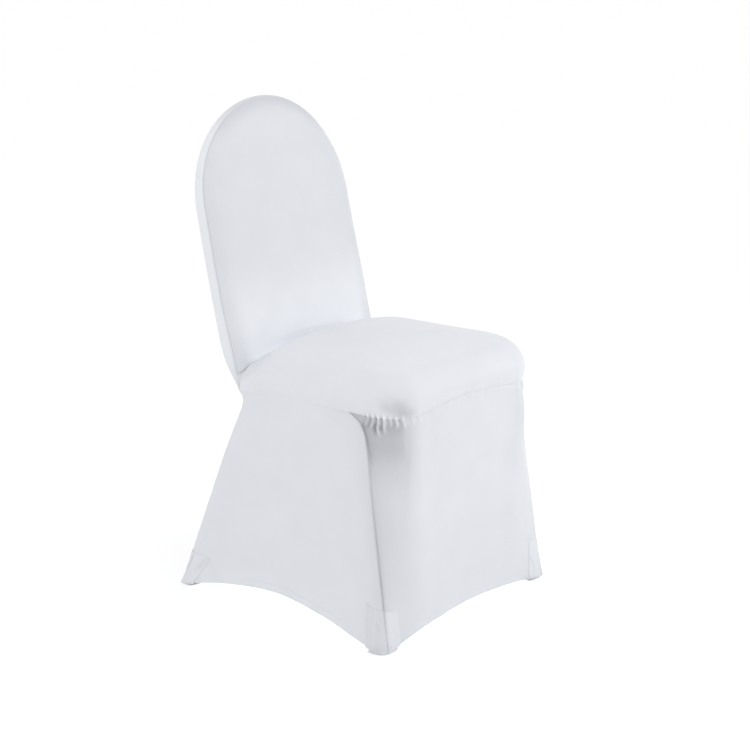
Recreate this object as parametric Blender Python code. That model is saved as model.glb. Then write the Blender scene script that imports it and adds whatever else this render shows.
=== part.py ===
"""Stretch cover for a round-backed banquet chair, drawn tight: six cut panels and four foot pockets.

Metres, +Z up, floor at z = 0. The seat faces -Y. The origin is the middle of the footprint.
Left is -X, the side that the photograph shows.
"""

import math
from collections import namedtuple

import bmesh
import bpy
import numpy as np
from mathutils import Vector

# Cloth
CLOTH = 0.0018
HEM_CLOTH = 0.0027
SEAM_SPACE = 0.0003
POCKET_CLOTH = 0.0016
POCKET_LIFT = 0.0011
COVER_COLOUR = (0.86, 0.87, 0.89)

# Feet of the cover, outer faces
FOOT_X = 0.2435
FOOT_FRONT_Y = -0.2620
FOOT_REAR_Y = 0.2495
FOOT_RADIUS = 0.016
FRONT_SEAM_TURN = math.radians(78)
REAR_SEAM_TURN = math.radians(45)
HEM_Z = 0.0034
HEM_RISE_FRONT = 0.0200
HEM_RISE_SIDE = 0.0405
HEM_RISE_REAR = 0.0230
HEM_ARCH_POWER = 1.6

# Pad of the seat
PAD_X = 0.1975
PAD_FRONT_Y = -0.2540
PAD_CORNER_RADIUS = 0.057
PAD_SEAM_Z = 0.4016
PAD_SEAM_BOW = 0.011
PAD_TOP_Z = 0.4846
PAD_SWELL = 0.014
PAD_DROOP = 0.012
PAD_EDGE_WIDTH = 0.045
# Lengths over which the pad's top drops to the crease at the rear, and droops at the front
PAD_DIP_LENGTH = 0.085
PAD_DROOP_LENGTH = 0.110
PAD_EDGE_ABOVE_BACK = 0.016
# Where the sections of the pad meet its middle line: not nearer to the front or to the crease than this
PAD_MIDDLE_FROM_FRONT = 0.20
PAD_MIDDLE_FROM_CREASE = 0.010

# Rear edge of the waist, where the cover draws in under the pad
WAIST_X = 0.1885
WAIST_Y = 0.1220
WAIST_Z = 0.3791
WAIST_MID_Y = 0.1450
WAIST_MID_Z = 0.4041
WAIST_RADIUS = 0.010
# Flat strip of the rear face beside each rounded rear corner
REAR_FLAT = 0.022

# Back, measured in its own leaning plane from the crease upwards
BACK_LEAN = math.radians(15.9)
BACK_CURVE = -0.108
BACK_TOP_CURVE = -0.16
BACK_Y = 0.1190
BACK_Z = 0.4251
BACK_FOOT_HALF = 0.2017
BACK_SHOULDER_HALF = 0.1962
BACK_SHOULDER = 0.3057
BACK_ARCH = 0.2015
BACK_THICK = 0.0370
BACK_PADDING = 0.012
SEAM_INSET = 0.004
SEAM_INSET_AT_CREASE = 0.009
SEAM_DEPTH = 0.0060
SEAM_DEPTH_AT_TOP = 0.0110
CREASE_RISE = 0.031
# How far up the back the crease's rise and the narrower seam are still felt, and how far in from the
# rim, as a share of the half width, the face rolls towards its seam
BACK_FOOT_REACH = 0.14
BACK_ROLL_SHARE = 0.13
REAR_SWELL = 0.006

# Seam between a side panel and the front panel: where it leaves the pad, and its straight run
CORNER_TOP = (0.1975, -0.1480, 0.4016)
CORNER_BEND = (0.2066, -0.1830, 0.3816)
CORNER_LEG = (0.2156, -0.2006, 0.3526)

# Counts of steps along the curves
BACK_SIDE_STEPS = 7
BACK_ARCH_STEPS = 18
STRIP_STEPS = 2
SIDE_STEPS = 9
FRONT_STEPS = 12

BackEdge = namedtuple("BackEdge", "inset depth")
# Section through the rim of the back, from the seam round to the rear face; depth as a share of the
# way from the seam's depth to the rear face
BACK_EDGE = (
    BackEdge(0.0000, 0.27),
    BackEdge(0.0000, 0.68),
    BackEdge(0.0050, 0.92),
    BackEdge(0.0160, 1.00),
)

PadEdge = namedtuple("PadEdge", "inset rise")
# Section through the rim of the seat pad, from its seam up over the top edge; rise as a share of the
# way from the seam to the pad's top
PAD_EDGE = (
    PadEdge(-0.0045, 0.20),
    PadEdge(-0.0050, 0.44),
    PadEdge(0.0020, 0.68),
    PadEdge(0.0170, 0.89),
    PadEdge(PAD_EDGE_WIDTH, 1.00),
)

Pleat = namedtuple("Pleat", "width depth")
# Gathers under a front corner of the seat, from the side round to the front
PLEATS = (
    Pleat(0.0100, 0.0022),
    Pleat(0.0085, 0.0034),
    Pleat(0.0090, 0.0036),
    Pleat(0.0115, 0.0030),
    Pleat(0.0130, 0.0018),
    Pleat(0.0120, 0.0024),
    Pleat(0.0150, 0.0010),
)
PLEAT_STEPS = 4
PLEAT_START = 0.030
# How much of a gather's depth is left in each row of the pad's edge above the seam
PLEAT_ABOVE = (0.25, 0.0, 0.0, 0.0, 0.0)

Hollow = namedtuple("Hollow", "depth middle reach")
# Where the front panel sinks beside each corner seam: depth, and its middle and reach as shares of
# the way from the seam to the middle of the front
HOLLOW_LEFT = Hollow(0.013, 0.26, 0.17)
HOLLOW_RIGHT = Hollow(0.010, 0.25, 0.16)
HOLLOW_DIRECTION = np.array((0.45, 0.89, 0.0))
HOLLOW_START = 0.12
# Share of the front's half width over which the bend of the corner seam is still felt
CORNER_REACH = 0.62

SkirtRow = namedtuple("SkirtRow", "drop pleat hollow lip")
# Rows of a skirt panel from its top seam to the hem: share of the height, and how much of the
# pleats, of the corner hollow and of the rolled lip beside the corner seam is left there
SKIRT_ROWS = (
    SkirtRow(0.000, 0.45, 0.00, 0.00),
    SkirtRow(0.022, 1.00, 0.45, 0.05),
    SkirtRow(0.052, 0.70, 0.95, 0.12),
    SkirtRow(0.090, 0.20, 1.00, 0.25),
    SkirtRow(0.150, 0.00, 0.85, 0.50),
    SkirtRow(0.260, 0.00, 0.55, 0.75),
    SkirtRow(0.410, 0.00, 0.30, 0.80),
    SkirtRow(0.580, 0.00, 0.14, 0.65),
    SkirtRow(0.740, 0.00, 0.04, 0.38),
    SkirtRow(0.880, 0.00, 0.00, 0.16),
    SkirtRow(0.965, 0.00, 0.00, 0.03),
    SkirtRow(1.000, 0.00, 0.00, 0.00),
)
LIP_PROUD = 0.0085
LIP_DIRECTION = np.array((-0.8, -0.6, 0.0))

LipColumn = namedtuple("LipColumn", "behind proud")
# Columns of a side panel just behind its front seam: distance behind the seam, and how much of the
# rolled lip stands there
LIP_COLUMNS = (
    LipColumn(0.000, 0.00),
    LipColumn(0.005, 0.75),
    LipColumn(0.011, 1.00),
    LipColumn(0.020, 0.80),
)
SIDE_SAG = 0.006
FRONT_SAG = 0.004
REAR_SAG = 0.006

Pocket = namedtuple("Pocket", "name side_x side_y side_top end_top side_reach top_share end_column")
# Foot pockets: which corner, height of the patch at its side end and at its front or rear end, how far
# it reaches along the side past the rounding of the foot, the share of that reach at its top edge, and
# the column of the front or rear panel at which it ends
POCKETS = (
    Pocket("pocket_front_left", -1, -1, 0.084, 0.068, 0.032, 0.58, 8),
    Pocket("pocket_front_right", 1, -1, 0.080, 0.079, 0.030, 0.80, 12),
    Pocket("pocket_rear_left", -1, 1, 0.065, 0.070, 0.034, 1.55, 4),
    Pocket("pocket_rear_right", 1, 1, 0.069, 0.068, 0.034, 0.90, 4),
)
POCKET_CHORD_REACH = 0.018
POCKET_CHORD_COLUMN = 2
POCKET_CHORD_COLUMN_REAR = 3.6
POCKET_WIDTH = 0.008
POCKET_BOW = 0.015
POCKET_EDGE = 0.0026
POCKET_INNER_TOP = 0.034
# Rows of the skirt that a pocket's outer wall follows below its top edge, the last being the hem
POCKET_ROWS = (9, 10, 11)


def mix(a, b, share):
    """The point that lies this share of the way from a to b."""
    return np.asarray(a, float) * (1 - share) + np.asarray(b, float) * share


def ease(value, start, end):
    """0 before start, 1 past end, and a smooth step between them."""
    t = min(max((value - start) / (end - start), 0.0), 1.0)
    return t * t * (3 - 2 * t)


def mirrored(point):
    return np.array((-point[0], point[1], point[2]))


def on_back(x, up, depth):
    """A point of the back: x across, up along its leaning plane, depth behind its front face."""
    curve = BACK_CURVE * up**2 + BACK_TOP_CURVE * max(up - BACK_SHOULDER, 0.0) ** 2
    y = BACK_Y + up * math.sin(BACK_LEAN) + curve + depth * math.cos(BACK_LEAN)
    z = BACK_Z + up * math.cos(BACK_LEAN) - depth * math.sin(BACK_LEAN)
    return np.array((x, y, z))


def back_outline():
    """The arch's outline, left foot to right foot, as (x, up, outward x, outward up) rows."""
    rows = []
    for i in range(BACK_SIDE_STEPS):
        up = BACK_SHOULDER * i / BACK_SIDE_STEPS
        half = BACK_FOOT_HALF + (BACK_SHOULDER_HALF - BACK_FOOT_HALF) * i / BACK_SIDE_STEPS
        rows.append((-half, up, -1.0, 0.0))
    for i in range(BACK_ARCH_STEPS // 2 + 1):
        turn = math.pi / 2 * i / (BACK_ARCH_STEPS // 2)
        out_x, out_up = BACK_ARCH * math.cos(turn), BACK_SHOULDER_HALF * math.sin(turn)
        length = math.hypot(out_x, out_up)
        x = -BACK_SHOULDER_HALF * math.cos(turn) if i < BACK_ARCH_STEPS // 2 else 0.0
        rows.append((x, BACK_SHOULDER + BACK_ARCH * math.sin(turn), -out_x / length, out_up / length))
    rows[-1] = (0.0, rows[-1][1], 0.0, 1.0)
    return rows + [(-x, up, -ox, ou) for x, up, ox, ou in reversed(rows[:-1])]


def seam_depth(up):
    """Depth of the seam round the inside back, which rolls further to the rear at the top."""
    return SEAM_DEPTH + (SEAM_DEPTH_AT_TOP - SEAM_DEPTH) * ease(up, BACK_SHOULDER, BACK_SHOULDER + BACK_ARCH)


def back_rim(row, inset, depth):
    x, up, out_x, out_up = row
    return on_back(x - out_x * inset, up - out_up * inset, depth)


def seam_inset(up):
    """How far the seam lies in from the rim, more where it nears the crease."""
    return SEAM_INSET_AT_CREASE + (SEAM_INSET - SEAM_INSET_AT_CREASE) * ease(up, 0.0, BACK_FOOT_REACH)


def seam_point(row):
    return back_rim(row, seam_inset(row[1]), seam_depth(row[1]))


def back_seam():
    """The seam between the inside and the outside back, left foot to right foot."""
    return [seam_point(row) for row in back_outline()]


def crease(share):
    """The crease behind the seat; share runs from -1 at the left end to 1 at the right end."""
    end = back_seam()[0]
    lift = CREASE_RISE * (1 - abs(share) ** 2.4)
    forward = SEAM_DEPTH * (1 - share**4)
    return np.array((-end[0] * share, end[1] - forward + lift * math.tan(BACK_LEAN), end[2] + lift))


# Shares of the way from a side to the middle line, for the inside back and for the crease that it
# shares with the seat panel
FACE_SHARES = (0.0, 0.025, 0.06, 0.10, 0.16, 0.23, 0.48, 0.74, 1.0)


def inside_back():
    """Rows from the seam inwards to the middle line, one for each step of the outline."""
    rows = back_outline()
    grid = []
    for index, row in enumerate(rows):
        x, up = row[0], row[1]
        rim = seam_point(row)
        spine_up = min(up, BACK_SHOULDER)
        line = []
        for share in FACE_SHARES:
            px = (x - row[2] * seam_inset(up)) * (1 - share)
            pu = (up - row[3] * seam_inset(up)) * (1 - share) + spine_up * share
            roll = seam_depth(up) * max(1 - share / BACK_ROLL_SHARE, 0.0) ** 2
            swell = (1 - (1 - share) ** 2) * math.sin(math.pi * min(0.18 + pu / 0.62, 1.0))
            point = on_back(px, pu, roll - BACK_PADDING * swell)
            side = -1 if index <= len(rows) // 2 else 1
            low = crease(side * (1 - share))
            line.append(point + (low - on_back(px, 0.0, 0.0)) * foot_share(up, share))
        line[0] = rim
        if up == 0.0:
            line = [rim] + [crease(side * (1 - share)) for share in FACE_SHARES[1:]]
        grid.append(line)
    return grid


def foot_share(up, share):
    """How much of the crease's own rise is left this far up the back."""
    return (1 - ease(up, 0.0, BACK_FOOT_REACH)) * min(share / BACK_ROLL_SHARE, 1.0)


def waist_corner():
    return np.array((-WAIST_X, WAIST_Y, WAIST_Z))


def strip_seam():
    """Left seam from the foot of the arch down and in to the waist's rear corner."""
    return [mix(back_seam()[0], waist_corner(), i / STRIP_STEPS) for i in range(STRIP_STEPS + 1)]


def foot_corner(side_y, turn):
    """A point of the left foot's rounded corner; turn is 0 at the side and 90 degrees at the end."""
    y = FOOT_FRONT_Y if side_y < 0 else FOOT_REAR_Y
    centre_x, centre_y = -FOOT_X + FOOT_RADIUS, y - side_y * FOOT_RADIUS
    return np.array(
        (centre_x - FOOT_RADIUS * math.cos(turn), centre_y + side_y * FOOT_RADIUS * math.sin(turn), HEM_Z)
    )


def rear_corner_seam():
    """Seam from the waist's rear corner straight down to the left rear foot."""
    foot = foot_corner(1, REAR_SEAM_TURN)
    return [mix(waist_corner(), foot, row.drop) for row in SKIRT_ROWS]


def front_corner_seam():
    """Seam from the side of the pad, forward round a bend and then straight down to the front foot."""
    left = [np.array((-x, y, z)) for x, y, z in (CORNER_TOP, CORNER_BEND, CORNER_LEG)]
    foot = foot_corner(-1, FRONT_SEAM_TURN)
    run = [left[0], mix(left[0], left[1], 0.55) + (0.0, 0.0, 0.004), left[1], left[2]]
    line = []
    for row in SKIRT_ROWS:
        z = left[0][2] + (foot[2] - left[0][2]) * row.drop
        line.append(at_height(run + [foot], z))
    return line


def at_height(line, z):
    """The point of a falling line at this height."""
    for above, below in zip(line, line[1:]):
        if z >= below[2] - 1e-9:
            return mix(above, below, (above[2] - z) / (above[2] - below[2]))
    return line[-1]


def pad_side():
    """Left seam of the pad, from the waist's rear corner forward to the corner seam."""
    length = WAIST_Y - CORNER_TOP[1]
    plain = SIDE_STEPS - len(LIP_COLUMNS) + 1
    last = 1 - LIP_COLUMNS[-1].behind / length
    shares = [last * i / plain for i in range(plain)]
    shares += [1 - column.behind / length for column in reversed(LIP_COLUMNS)]
    return [pad_side_point(share) for share in shares]


def pad_side_point(share):
    """A point of the pad's left seam; it rises out of the waist and then runs level."""
    rise = 1 - (1 - min(share / 0.35, 1.0)) ** 2
    spread = 1 - (1 - min(share / 0.5, 1.0)) ** 2
    return np.array(
        (
            -(WAIST_X + (PAD_X - WAIST_X) * spread),
            WAIST_Y + (CORNER_TOP[1] - WAIST_Y) * share,
            WAIST_Z + (PAD_SEAM_Z - WAIST_Z) * rise,
        )
    )


def pad_outline_at(distance):
    """Point and outward direction of the pad's left outline, this far forward of the corner seam."""
    straight = (CORNER_TOP[1] - PAD_FRONT_Y) - PAD_CORNER_RADIUS
    bend = PAD_CORNER_RADIUS * math.pi / 2
    flat = PAD_X - PAD_CORNER_RADIUS
    if distance <= straight:
        return np.array((-PAD_X, CORNER_TOP[1] - distance, PAD_SEAM_Z)), np.array((-1.0, 0.0, 0.0))
    if distance <= straight + bend:
        turn = (distance - straight) / PAD_CORNER_RADIUS
        out = np.array((-math.cos(turn), -math.sin(turn), 0.0))
        centre = np.array((-flat, PAD_FRONT_Y + PAD_CORNER_RADIUS, PAD_SEAM_Z))
        return centre + out * PAD_CORNER_RADIUS, out
    x = min(distance - straight - bend - flat, 0.0)
    z = PAD_SEAM_Z + PAD_SEAM_BOW * (1 - (x / flat) ** 2)
    return np.array((x, PAD_FRONT_Y, z)), np.array((0.0, -1.0, 0.0))


def front_distances():
    """Distances of the front seam's points from the corner seam to the middle of the front."""
    total = (CORNER_TOP[1] - PAD_FRONT_Y) - PAD_CORNER_RADIUS + PAD_CORNER_RADIUS * math.pi / 2
    total += PAD_X - PAD_CORNER_RADIUS
    distances = [0.0, PLEAT_START / 2, PLEAT_START]
    for pleat in PLEATS:
        start = distances[-1]
        distances += [start + pleat.width * (i + 1) / PLEAT_STEPS for i in range(PLEAT_STEPS)]
    start, rest = distances[-1], total - distances[-1]
    distances += [start + rest * (i + 1) / (FRONT_STEPS // 2) for i in range(FRONT_STEPS // 2)]
    return distances


def pleat_depths():
    """How far each point of the front seam's left half lies in a gather, as a depth."""
    depths = [0.0, 0.0, 0.0]
    for pleat in PLEATS:
        depths += [pleat.depth * math.sin(math.pi * (i + 1) / PLEAT_STEPS) ** 2 for i in range(PLEAT_STEPS)]
    return depths + [0.0] * (FRONT_STEPS // 2)


def front_seam():
    """Left half of the seam between the pad and the front panel, with its gathers."""
    line = []
    for distance, depth in zip(front_distances(), pleat_depths()):
        point, out = pad_outline_at(distance)
        line.append(point - out * depth * SKIRT_ROWS[0].pleat)
    line[0] = np.array((-CORNER_TOP[0], CORNER_TOP[1], CORNER_TOP[2]))
    line[-1][0] = 0.0
    return line


def pad_top(y):
    """Height of the pad's top edge and of its middle, at this distance from the front."""
    low = crease(0.0)[2]
    edge_low = BACK_Z + PAD_EDGE_ABOVE_BACK
    dip = ease(BACK_Y - y, 0.0, PAD_DIP_LENGTH)
    droop = PAD_DROOP * (1 - ease(y, PAD_FRONT_Y, PAD_FRONT_Y + PAD_DROOP_LENGTH))
    edge = edge_low + (PAD_TOP_Z - edge_low) * dip - droop
    middle = low + (PAD_TOP_Z + PAD_SWELL - low) * dip - droop
    return edge, middle


TOP_SHARES = (0.30, 0.65, 1.0)


def pad_section(start, depth):
    """One section of the seat panel, from its seam over the edge to the middle line."""
    middle_y = max(start[1] - CLOTH, PAD_FRONT_Y + PAD_MIDDLE_FROM_FRONT)
    middle_y = min(middle_y, BACK_Y - PAD_MIDDLE_FROM_CREASE)
    inward = np.array((-start[0], middle_y - start[1], 0.0))
    length = math.hypot(inward[0], inward[1])
    inward /= length
    edge_z, middle_z = pad_top(start[1] + inward[1] * PAD_EDGE_WIDTH)
    line = [start]
    for number, edge in enumerate(PAD_EDGE):
        left = depth * PLEAT_ABOVE[number]
        point = start + inward * (edge.inset + left)
        point[2] = start[2] + (edge_z - start[2]) * edge.rise
        line.append(point)
    for share in TOP_SHARES:
        reach = PAD_EDGE_WIDTH + (length - PAD_EDGE_WIDTH) * share
        point = start + inward * reach
        edge_z, middle_z = pad_top(point[1])
        point[2] = edge_z + (middle_z - edge_z) * (1 - (1 - share) ** 2)
        line.append(point)
    line[-1] = np.array((0.0, middle_y, pad_top(middle_y)[1]))
    return line


def crease_section():
    """The crease itself, with as many points as a section of the seat panel has."""
    return [crease(share - 1) for share in FACE_SHARES]


def seat_half():
    """Left half of the seat panel, rows from the crease round to the middle of the front."""
    first = crease_section()
    second = pad_section(waist_corner(), 0.0)
    grid = [first]
    for i, start in enumerate(strip_seam()[1:-1]):
        share = (i + 1) / STRIP_STEPS
        row = [mix(a, b, share) for a, b in zip(first, second)]
        row[0] = start
        grid.append(row)
    grid += [pad_section(start, 0.0) for start in pad_side()[:-1]]
    for start, depth in zip(front_seam(), pleat_depths()):
        grid.append(pad_section(start, depth))
    return grid


def full_width(half):
    """Rows of a left half followed by their mirror images, past the shared middle row."""
    return half + [[mirrored(p) for p in row] for row in reversed(half[:-1])]


def hem_height(share, rise):
    """Height of a hem that lies level at two feet and arches between them; share is from foot to foot."""
    level = FOOT_RADIUS / (2 * FOOT_X)
    between = min(max((share - level) / (1 - 2 * level), 0.0), 1.0)
    return HEM_Z + rise * (1 - abs(2 * between - 1) ** HEM_ARCH_POWER)


def side_hem():
    """Left hem from the rear foot to the front foot."""
    rear = [foot_corner(1, REAR_SEAM_TURN * share) for share in (1.0, 0.5, 0.0)]
    turns = [FRONT_SEAM_TURN - column.behind / FOOT_RADIUS for column in reversed(LIP_COLUMNS)]
    front = [foot_corner(-1, max(turn, 0.0)) for turn in turns]
    steps = SIDE_STEPS - len(rear) - len(front) + 2
    between = [mix(rear[-1], front[0], i / steps) for i in range(1, steps)]
    line = rear + between + front
    for point in line:
        share = (FOOT_REAR_Y - point[1]) / (FOOT_REAR_Y - FOOT_FRONT_Y)
        point[2] = hem_height(share, HEM_RISE_SIDE)
        point[0] += SIDE_SAG * (4 * share * (1 - share)) ** 2
    return line


def patch(top, hem, rear, front):
    """A panel between its top seam, its hem and its two side seams, as rows from the top down."""
    grid = []
    for number, row in enumerate(SKIRT_ROWS):
        line = []
        for index, (high, low) in enumerate(zip(top, hem)):
            across = index / (len(top) - 1)
            point = mix(high, low, row.drop)
            straight_rear = mix(top[0], hem[0], row.drop)
            straight_front = mix(top[-1], hem[-1], row.drop)
            point += (rear[number] - straight_rear) * (1 - across) ** 2
            point += (front[number] - straight_front) * across**2
            line.append(point)
        line[0], line[-1] = rear[number], front[number]
        grid.append(line)
    return grid


def skirt_side():
    """Left side panel, rows from the pad's seam down to the hem."""
    grid = patch(pad_side(), side_hem(), rear_corner_seam(), front_corner_seam())
    for row, line in zip(SKIRT_ROWS, grid):
        for index, point in enumerate(line[1:-1], 1):
            across = index / SIDE_STEPS
            point[0] += SIDE_SAG * math.sin(math.pi * row.drop) * math.sin(math.pi * across)
            from_seam = SIDE_STEPS - index
            if from_seam < len(LIP_COLUMNS):
                point += LIP_DIRECTION * LIP_PROUD * row.lip * LIP_COLUMNS[from_seam].proud
    return grid


def front_hem():
    """Left half of the front hem, spaced as the seam above it is."""
    distances = front_distances()
    total = distances[-1]
    corner = [foot_corner(-1, turn) for turn in (FRONT_SEAM_TURN, math.pi / 2)]
    line = list(corner)
    start = corner[-1][0]
    first = distances[len(corner) - 1]
    for distance in distances[len(corner) :]:
        share = ((distance - first) / (total - first)) ** 0.9
        line.append(np.array((start * (1 - share), FOOT_FRONT_Y, HEM_Z)))
    for point in line:
        share = (point[0] + FOOT_X) / (2 * FOOT_X)
        point[2] = hem_height(share, HEM_RISE_FRONT)
        point[1] += FRONT_SAG * (4 * share * (1 - share)) ** 2
    line[-1][0] = 0.0
    return line


def skirt_front_half(hollow):
    """Half of the front panel, columns from the corner seam to the middle, drawn at the left."""
    top, hem, seam = front_seam(), front_hem(), front_corner_seam()
    distances, depths = front_distances(), pleat_depths()
    grid = []
    for index, (high, low) in enumerate(zip(top, hem)):
        across = distances[index] / distances[-1]
        plain, out = pad_outline_at(distances[index])
        line = []
        for number, row in enumerate(SKIRT_ROWS):
            point = mix(plain, low, row.drop)
            pull = seam[number] - mix(seam[0], seam[-1], row.drop)
            point += pull * (1 - ease(across, 0.0, CORNER_REACH))
            near = math.exp(-(((across - hollow.middle) / hollow.reach) ** 2))
            near *= ease(across, 0.0, HOLLOW_START)
            point += HOLLOW_DIRECTION * hollow.depth * row.hollow * near
            point -= out * depths[index] * row.pleat
            point[1] += FRONT_SAG * math.sin(math.pi * row.drop) * ease(across, 0.2, 1.0)
            line.append(point)
        line[0], line[-1] = high, low
        grid.append(line)
    grid[0] = seam
    for point in grid[-1]:
        point[0] = 0.0
    return grid


def skirt_front():
    """The front panel from the left corner seam to the right one, the two hollows not alike."""
    left = skirt_front_half(HOLLOW_LEFT)
    right = skirt_front_half(HOLLOW_RIGHT)
    return left + [[mirrored(p) for p in row] for row in reversed(right[:-1])]


REAR_SHARES = (0.25, 0.5, 0.75, 1.0)


def outside_back_upper():
    """Rows of the outside back for the arch, from the seam round the rim to the middle line."""
    grid = []
    for row in back_outline():
        x, up = row[0], row[1]
        seam = seam_depth(up)
        line = [seam_point(row)]
        for edge in BACK_EDGE:
            line.append(back_rim(row, edge.inset, seam + (BACK_THICK - seam) * edge.depth))
        inner_x, inner_up = x - row[2] * BACK_EDGE[-1].inset, up - row[3] * BACK_EDGE[-1].inset
        for share in REAR_SHARES:
            spine_up = min(inner_up, BACK_SHOULDER)
            px = inner_x * (1 - share)
            pu = inner_up * (1 - share) + spine_up * share
            swell = REAR_SWELL * (1 - (1 - share) ** 2) * ease(up, 0.0, BACK_FOOT_REACH)
            line.append(on_back(px, pu, BACK_THICK + swell))
        if x == 0.0:
            for point in line:
                point[0] = 0.0
        grid.append(line)
    return grid


def rear_leg_row(number):
    """A row of the outside back below the waist, from the corner seam to the middle line."""
    drop = SKIRT_ROWS[number].drop
    seam = rear_corner_seam()[number]
    start_turn = REAR_SEAM_TURN
    turns = [start_turn + (math.pi / 2 - start_turn) * (i + 1) / 3 for i in range(3)]
    radius = mix(WAIST_RADIUS, FOOT_RADIUS, drop)
    line = [seam]
    for turn in turns:
        step = np.array(
            (
                radius * (math.cos(start_turn) - math.cos(turn)),
                radius * (math.sin(turn) - math.sin(start_turn)),
                0.0,
            )
        )
        line.append(seam + step)
    line.append(line[-1] + (REAR_FLAT, 0.0, 0.0))
    waist = np.array((0.0, WAIST_MID_Y, WAIST_MID_Z))
    hem = np.array((0.0, FOOT_REAR_Y - REAR_SAG, HEM_Z))
    end = mix(waist, hem, drop)
    start = line[-1].copy()
    for share in REAR_SHARES:
        bow = 1 - (1 - share) ** 2
        point = np.array((start[0] * (1 - share), start[1] + (end[1] - start[1]) * bow, 0.0))
        point[2] = start[2] + (end[2] - start[2]) * bow
        point[1] -= REAR_SAG * math.sin(math.pi * drop) * bow
        line.append(point)
    for point in line[1:]:
        share = (point[0] + FOOT_X) / (2 * FOOT_X)
        point[2] += (hem_height(share, HEM_RISE_REAR) - HEM_Z) * drop**3
    return line


def outside_back_lower():
    """Left rows of the outside back below the arch, from the strip beside the seat to the hem."""
    arch_foot = outside_back_upper()[0]
    waist = rear_leg_row(0)
    grid = []
    for i, start in enumerate(strip_seam()[1:-1]):
        share = (i + 1) / STRIP_STEPS
        row = [mix(a, b, share) for a, b in zip(arch_foot, waist)]
        row[0] = start
        grid.append(row)
    return grid + [rear_leg_row(number) for number in range(len(SKIRT_ROWS))]


def outside_back():
    """All rows of the outside back: up from the left hem, over the arch and down to the right hem."""
    lower = outside_back_lower()
    left = list(reversed(lower))
    right = [[mirrored(p) for p in row] for row in lower]
    return left + outside_back_upper() + right


def column_line(rows, place):
    """A line down a panel at a fractional column, on the triangles between the panel's rows."""
    first = min(int(place), len(rows[0]) - 2)
    share = place - first
    line = []
    for above, below in zip(rows, rows[1:]):
        line.append(mix(above[first], above[first + 1], share))
        if 0 < share < 1:
            line.append(mix(above[first], below[first + 1], share))
    line.append(mix(rows[-1][first], rows[-1][first + 1], share))
    return line


def side_places(pocket, side):
    """Columns of a pocket on the side panel: (column at the foot's rounding, distance past it)."""
    hem = side[-1]
    if pocket.side_y < 0:
        start = len(hem) - len(LIP_COLUMNS)
        places = [(start, pocket.side_reach), (start, POCKET_CHORD_REACH)]
        return places + [(start + i, 0.0) for i in range(len(LIP_COLUMNS) - 1)]
    return [(2, -pocket.side_reach), (2, -POCKET_CHORD_REACH), (2, 0.0), (1, 0.0)]


def side_line(side, place, past):
    """The line down the side panel at this column, or at this distance past it."""
    if past == 0.0:
        return column_line(side, place)
    step = -1 if past > 0 else 1
    span = np.linalg.norm(side[-1][place + step] - side[-1][place])
    return column_line(side, place + step * abs(past) / span)


def end_lines(pocket):
    """Lines down the front or rear panel, from the corner seam to the end of the pocket."""
    if pocket.side_y < 0:
        columns = skirt_front_half(HOLLOW_LEFT if pocket.side_x < 0 else HOLLOW_RIGHT)
        rows = [list(row) for row in zip(*columns)]
        places = [0, 1, POCKET_CHORD_COLUMN, pocket.end_column]
    else:
        rows = [rear_leg_row(number) for number in range(len(SKIRT_ROWS))]
        places = [0, 1, 2, 3, POCKET_CHORD_COLUMN_REAR, pocket.end_column]
    return [column_line(rows, place) for place in places]


def plan_normals(line, side_y):
    """Outward directions, in plan, along a line that runs from the side round a left foot."""
    normals = []
    for i, point in enumerate(line):
        before = point - line[i - 1] if i else line[1] - point
        after = line[i + 1] - point if i + 1 < len(line) else before
        steps = [np.array((d[1], -d[0], 0.0)) / math.hypot(d[0], d[1]) for d in (before, after)]
        outward = (steps[0] + steps[1]) * -side_y
        normals.append(outward * 2 / (outward @ outward))
    return normals


def row_height(line, number):
    """Height of one of the skirt's rows on a line down a panel."""
    return line[number * (len(line) - 1) // (len(SKIRT_ROWS) - 1)][2]


def pocket_lines(pocket, shares):
    """Lines down the skirt at a pocket's columns, at these shares of its height above the hem."""
    side = skirt_side()
    lines = []
    for (place, past), share in zip(side_places(pocket, side), shares):
        lines.append(side_line(side, place, past * (1 + (pocket.top_share - 1) * share)))
    return lines + end_lines(pocket)


def pocket_wall(pocket, heights, hems, tops):
    """Points of the pocket's outer face over the skirt, at these heights for each of its columns."""
    shares = [(z - low) / (top - low) for z, low, top in zip(heights, hems, tops)]
    points = [at_height(line, z) for line, z in zip(pocket_lines(pocket, shares), heights)]
    lifted = []
    for point, normal, z in zip(points, plan_normals(points, pocket.side_y), heights):
        lifted.append(np.array((point[0], point[1], z)) + normal * (POCKET_LIFT + POCKET_CLOTH))
    return lifted


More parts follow.
